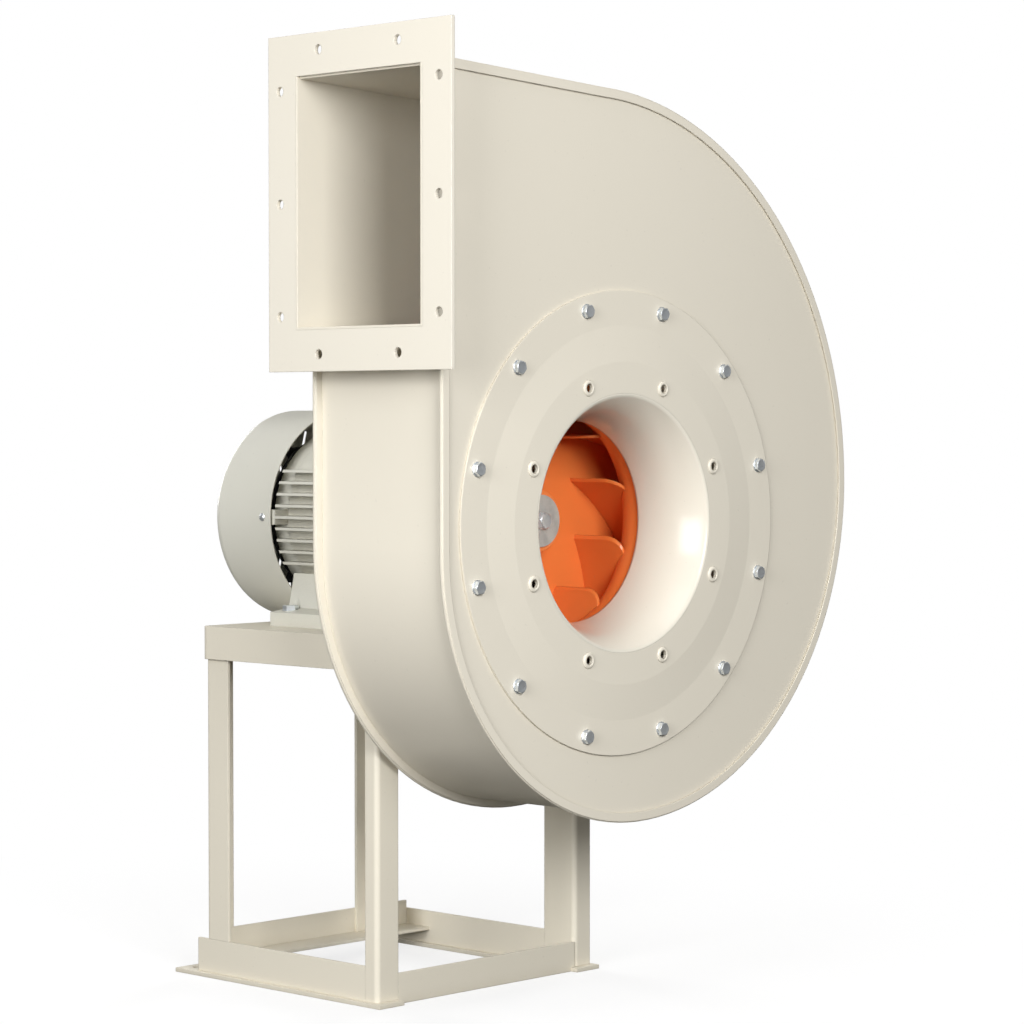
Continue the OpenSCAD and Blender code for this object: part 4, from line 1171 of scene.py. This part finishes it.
@dataclass
class Studio:
    """The plain studio: floor, backdrop light, lamps and the camera.

    Attributes:
        eye: Where the camera stands.
        heading: The camera's heading from +Y towards +X, in degrees.
        pitch: The camera's tilt above the horizon, in degrees.
        sensor: Width of the camera's sensor, in millimetres.
        lens: Focal length, in millimetres.
        shift: Small sideways and upward shift of the frame.
        target: What the softboxes point at.
        softboxes: The lights round the blower.
        ambient: Strength of the world's light on the blower.
        backdrop: Strength of the world's light as the camera sees it.
        floor_radius: Radius of the floor.
        shadow_share: How strongly the floor near the blower takes its shadow.
        shadow_ends: Distance from the blower's middle where the shadow starts to fade, and ends.
        bounce: The floor's colour as it lights the blower.
    """

    eye: Point = (-2.62906, -2.73889, 0.67385)
    heading: float = 46.251
    pitch: float = -1.943
    sensor: float = 36.0
    lens: float = 108.44
    shift: tuple[float, float] = (0.0007, 0.0157)
    target: Point = (0.0, MIDDLE_Y, 0.6)
    softboxes: tuple[Softbox, ...] = (
        Softbox("left_softbox", (-3.5, -1.1, 1.3), 1.9, 98.0),
        Softbox("front_left_softbox", (-1.7, -3.6, 1.7), 1.5, 122.0),
        Softbox("top_softbox", (-0.6, -0.4, 3.4), 2.0, 16.0),
        Softbox("rear_softbox", (0.5, 3.5, 1.6), 1.8, 75.0),
        Softbox("right_softbox", (3.4, 0.5, 1.5), 1.8, 75.0),
    )
    ambient: float = 0.20
    backdrop: float = 1.0
    floor_radius: float = 14.0
    shadow_share: float = 0.3
    shadow_ends: tuple[float, float] = (0.45, 1.15)
    bounce: Colour = (0.08, 0.078, 0.07, 1.0)

    def camera(self) -> None:
        """Sets up the camera."""
        data = bpy.data.cameras.new("camera")
        data.sensor_width = self.sensor
        data.lens = self.lens
        data.shift_x, data.shift_y = self.shift
        data.clip_start, data.clip_end = 0.05, 100.0
        camera = bpy.data.objects.new("camera", data)
        camera.location = self.eye
        a, e = math.radians(self.heading), math.radians(self.pitch)
        ahead = Vector((math.sin(a) * math.cos(e), math.cos(a) * math.cos(e), math.sin(e)))
        camera.rotation_mode = "QUATERNION"
        camera.rotation_quaternion = ahead.to_track_quat("-Z", "Y")
        bpy.context.scene.collection.objects.link(camera)
        bpy.context.scene.camera = camera

    def lights(self) -> None:
        """Adds the softboxes and the world's even light."""
        for softbox in self.softboxes:
            softbox.hang(self.target)
        world = bpy.data.worlds.new("studio")
        bpy.context.scene.world = world
        world.use_nodes = True
        tree = world.node_tree
        tree.nodes.clear()
        out = tree.nodes.new("ShaderNodeOutputWorld")
        path = tree.nodes.new("ShaderNodeLightPath")
        shown = calculate(tree, "MAXIMUM", path.outputs["Is Camera Ray"],
                          path.outputs["Is Transmission Ray"])
        strength = add_node(tree, "MapRange", {"Value": shown, "To Min": self.ambient,
                                               "To Max": self.backdrop}).outputs["Result"]
        light = add_node(tree, "Background", {"Color": WHITE, "Strength": strength})
        tree.links.new(light.outputs[0], out.inputs["Surface"])

    def floor(self) -> None:
        """Adds the pale floor, which keeps a faint shadow."""
        mesh = bmesh.new()
        lathe(mesh, [(self.floor_radius, 0.0), (0.0, 0.0)], Matrix.Identity(4), sides=64)
        floor = finish_mesh("floor", mesh)
        material = bpy.data.materials.new("pale_floor")
        material.use_nodes = True
        tree = material.node_tree
        tree.nodes.clear()
        out = tree.nodes.new("ShaderNodeOutputMaterial")
        path = tree.nodes.new("ShaderNodeLightPath")
        place = add_node(tree, "TexCoord").outputs["Object"]
        reach = add_node(tree, "VectorMath", {0: place}, operation="LENGTH").outputs["Value"]
        near = remap(tree, reach, *self.shadow_ends, self.shadow_share, 0.0)
        white = add_node(tree, "Emission", {"Color": WHITE, "Strength": self.backdrop})
        pale = add_node(tree, "BsdfDiffuse", {"Color": (0.92, 0.92, 0.92, 1.0)})
        seen = add_node(tree, "MixShader", {0: near, 1: white.outputs[0], 2: pale.outputs[0]})
        bounce = add_node(tree, "BsdfDiffuse", {"Color": self.bounce})
        mix = add_node(tree, "MixShader", {0: path.outputs["Is Camera Ray"], 1: bounce.outputs[0],
                                           2: seen.outputs[0]})
        tree.links.new(mix.outputs[0], out.inputs["Surface"])
        floor.data.materials.append(material)

    def build(self) -> None:
        """Builds the whole studio."""
        bpy.context.scene.view_settings.view_transform = "Standard"
        self.camera()
        self.lights()
        self.floor()


def main() -> None:
    """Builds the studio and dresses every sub-assembly."""
    logging.basicConfig(level=logging.INFO, format="%(name)s: %(message)s")
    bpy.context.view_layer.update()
    Studio().build()
    groups = Groups()
    nodes = frame["nodes"]
    zinc = WorkedMetal("bright_zinc", (0.80, 0.83, 0.85, 1.0), (0.70, 0.74, 0.77, 1.0),
                       roughness=0.34, metallic=0.8).build(groups)
    for part in (Casing(nodes, groups), Impeller(nodes, groups), Motor(nodes, groups)):
        part.dress()
        part.fasten(zinc)
    Pedestal(nodes, groups).dress()
    LOG.info("dressed %d nodes", len(nodes))


if __name__ == "__main__":
    main()
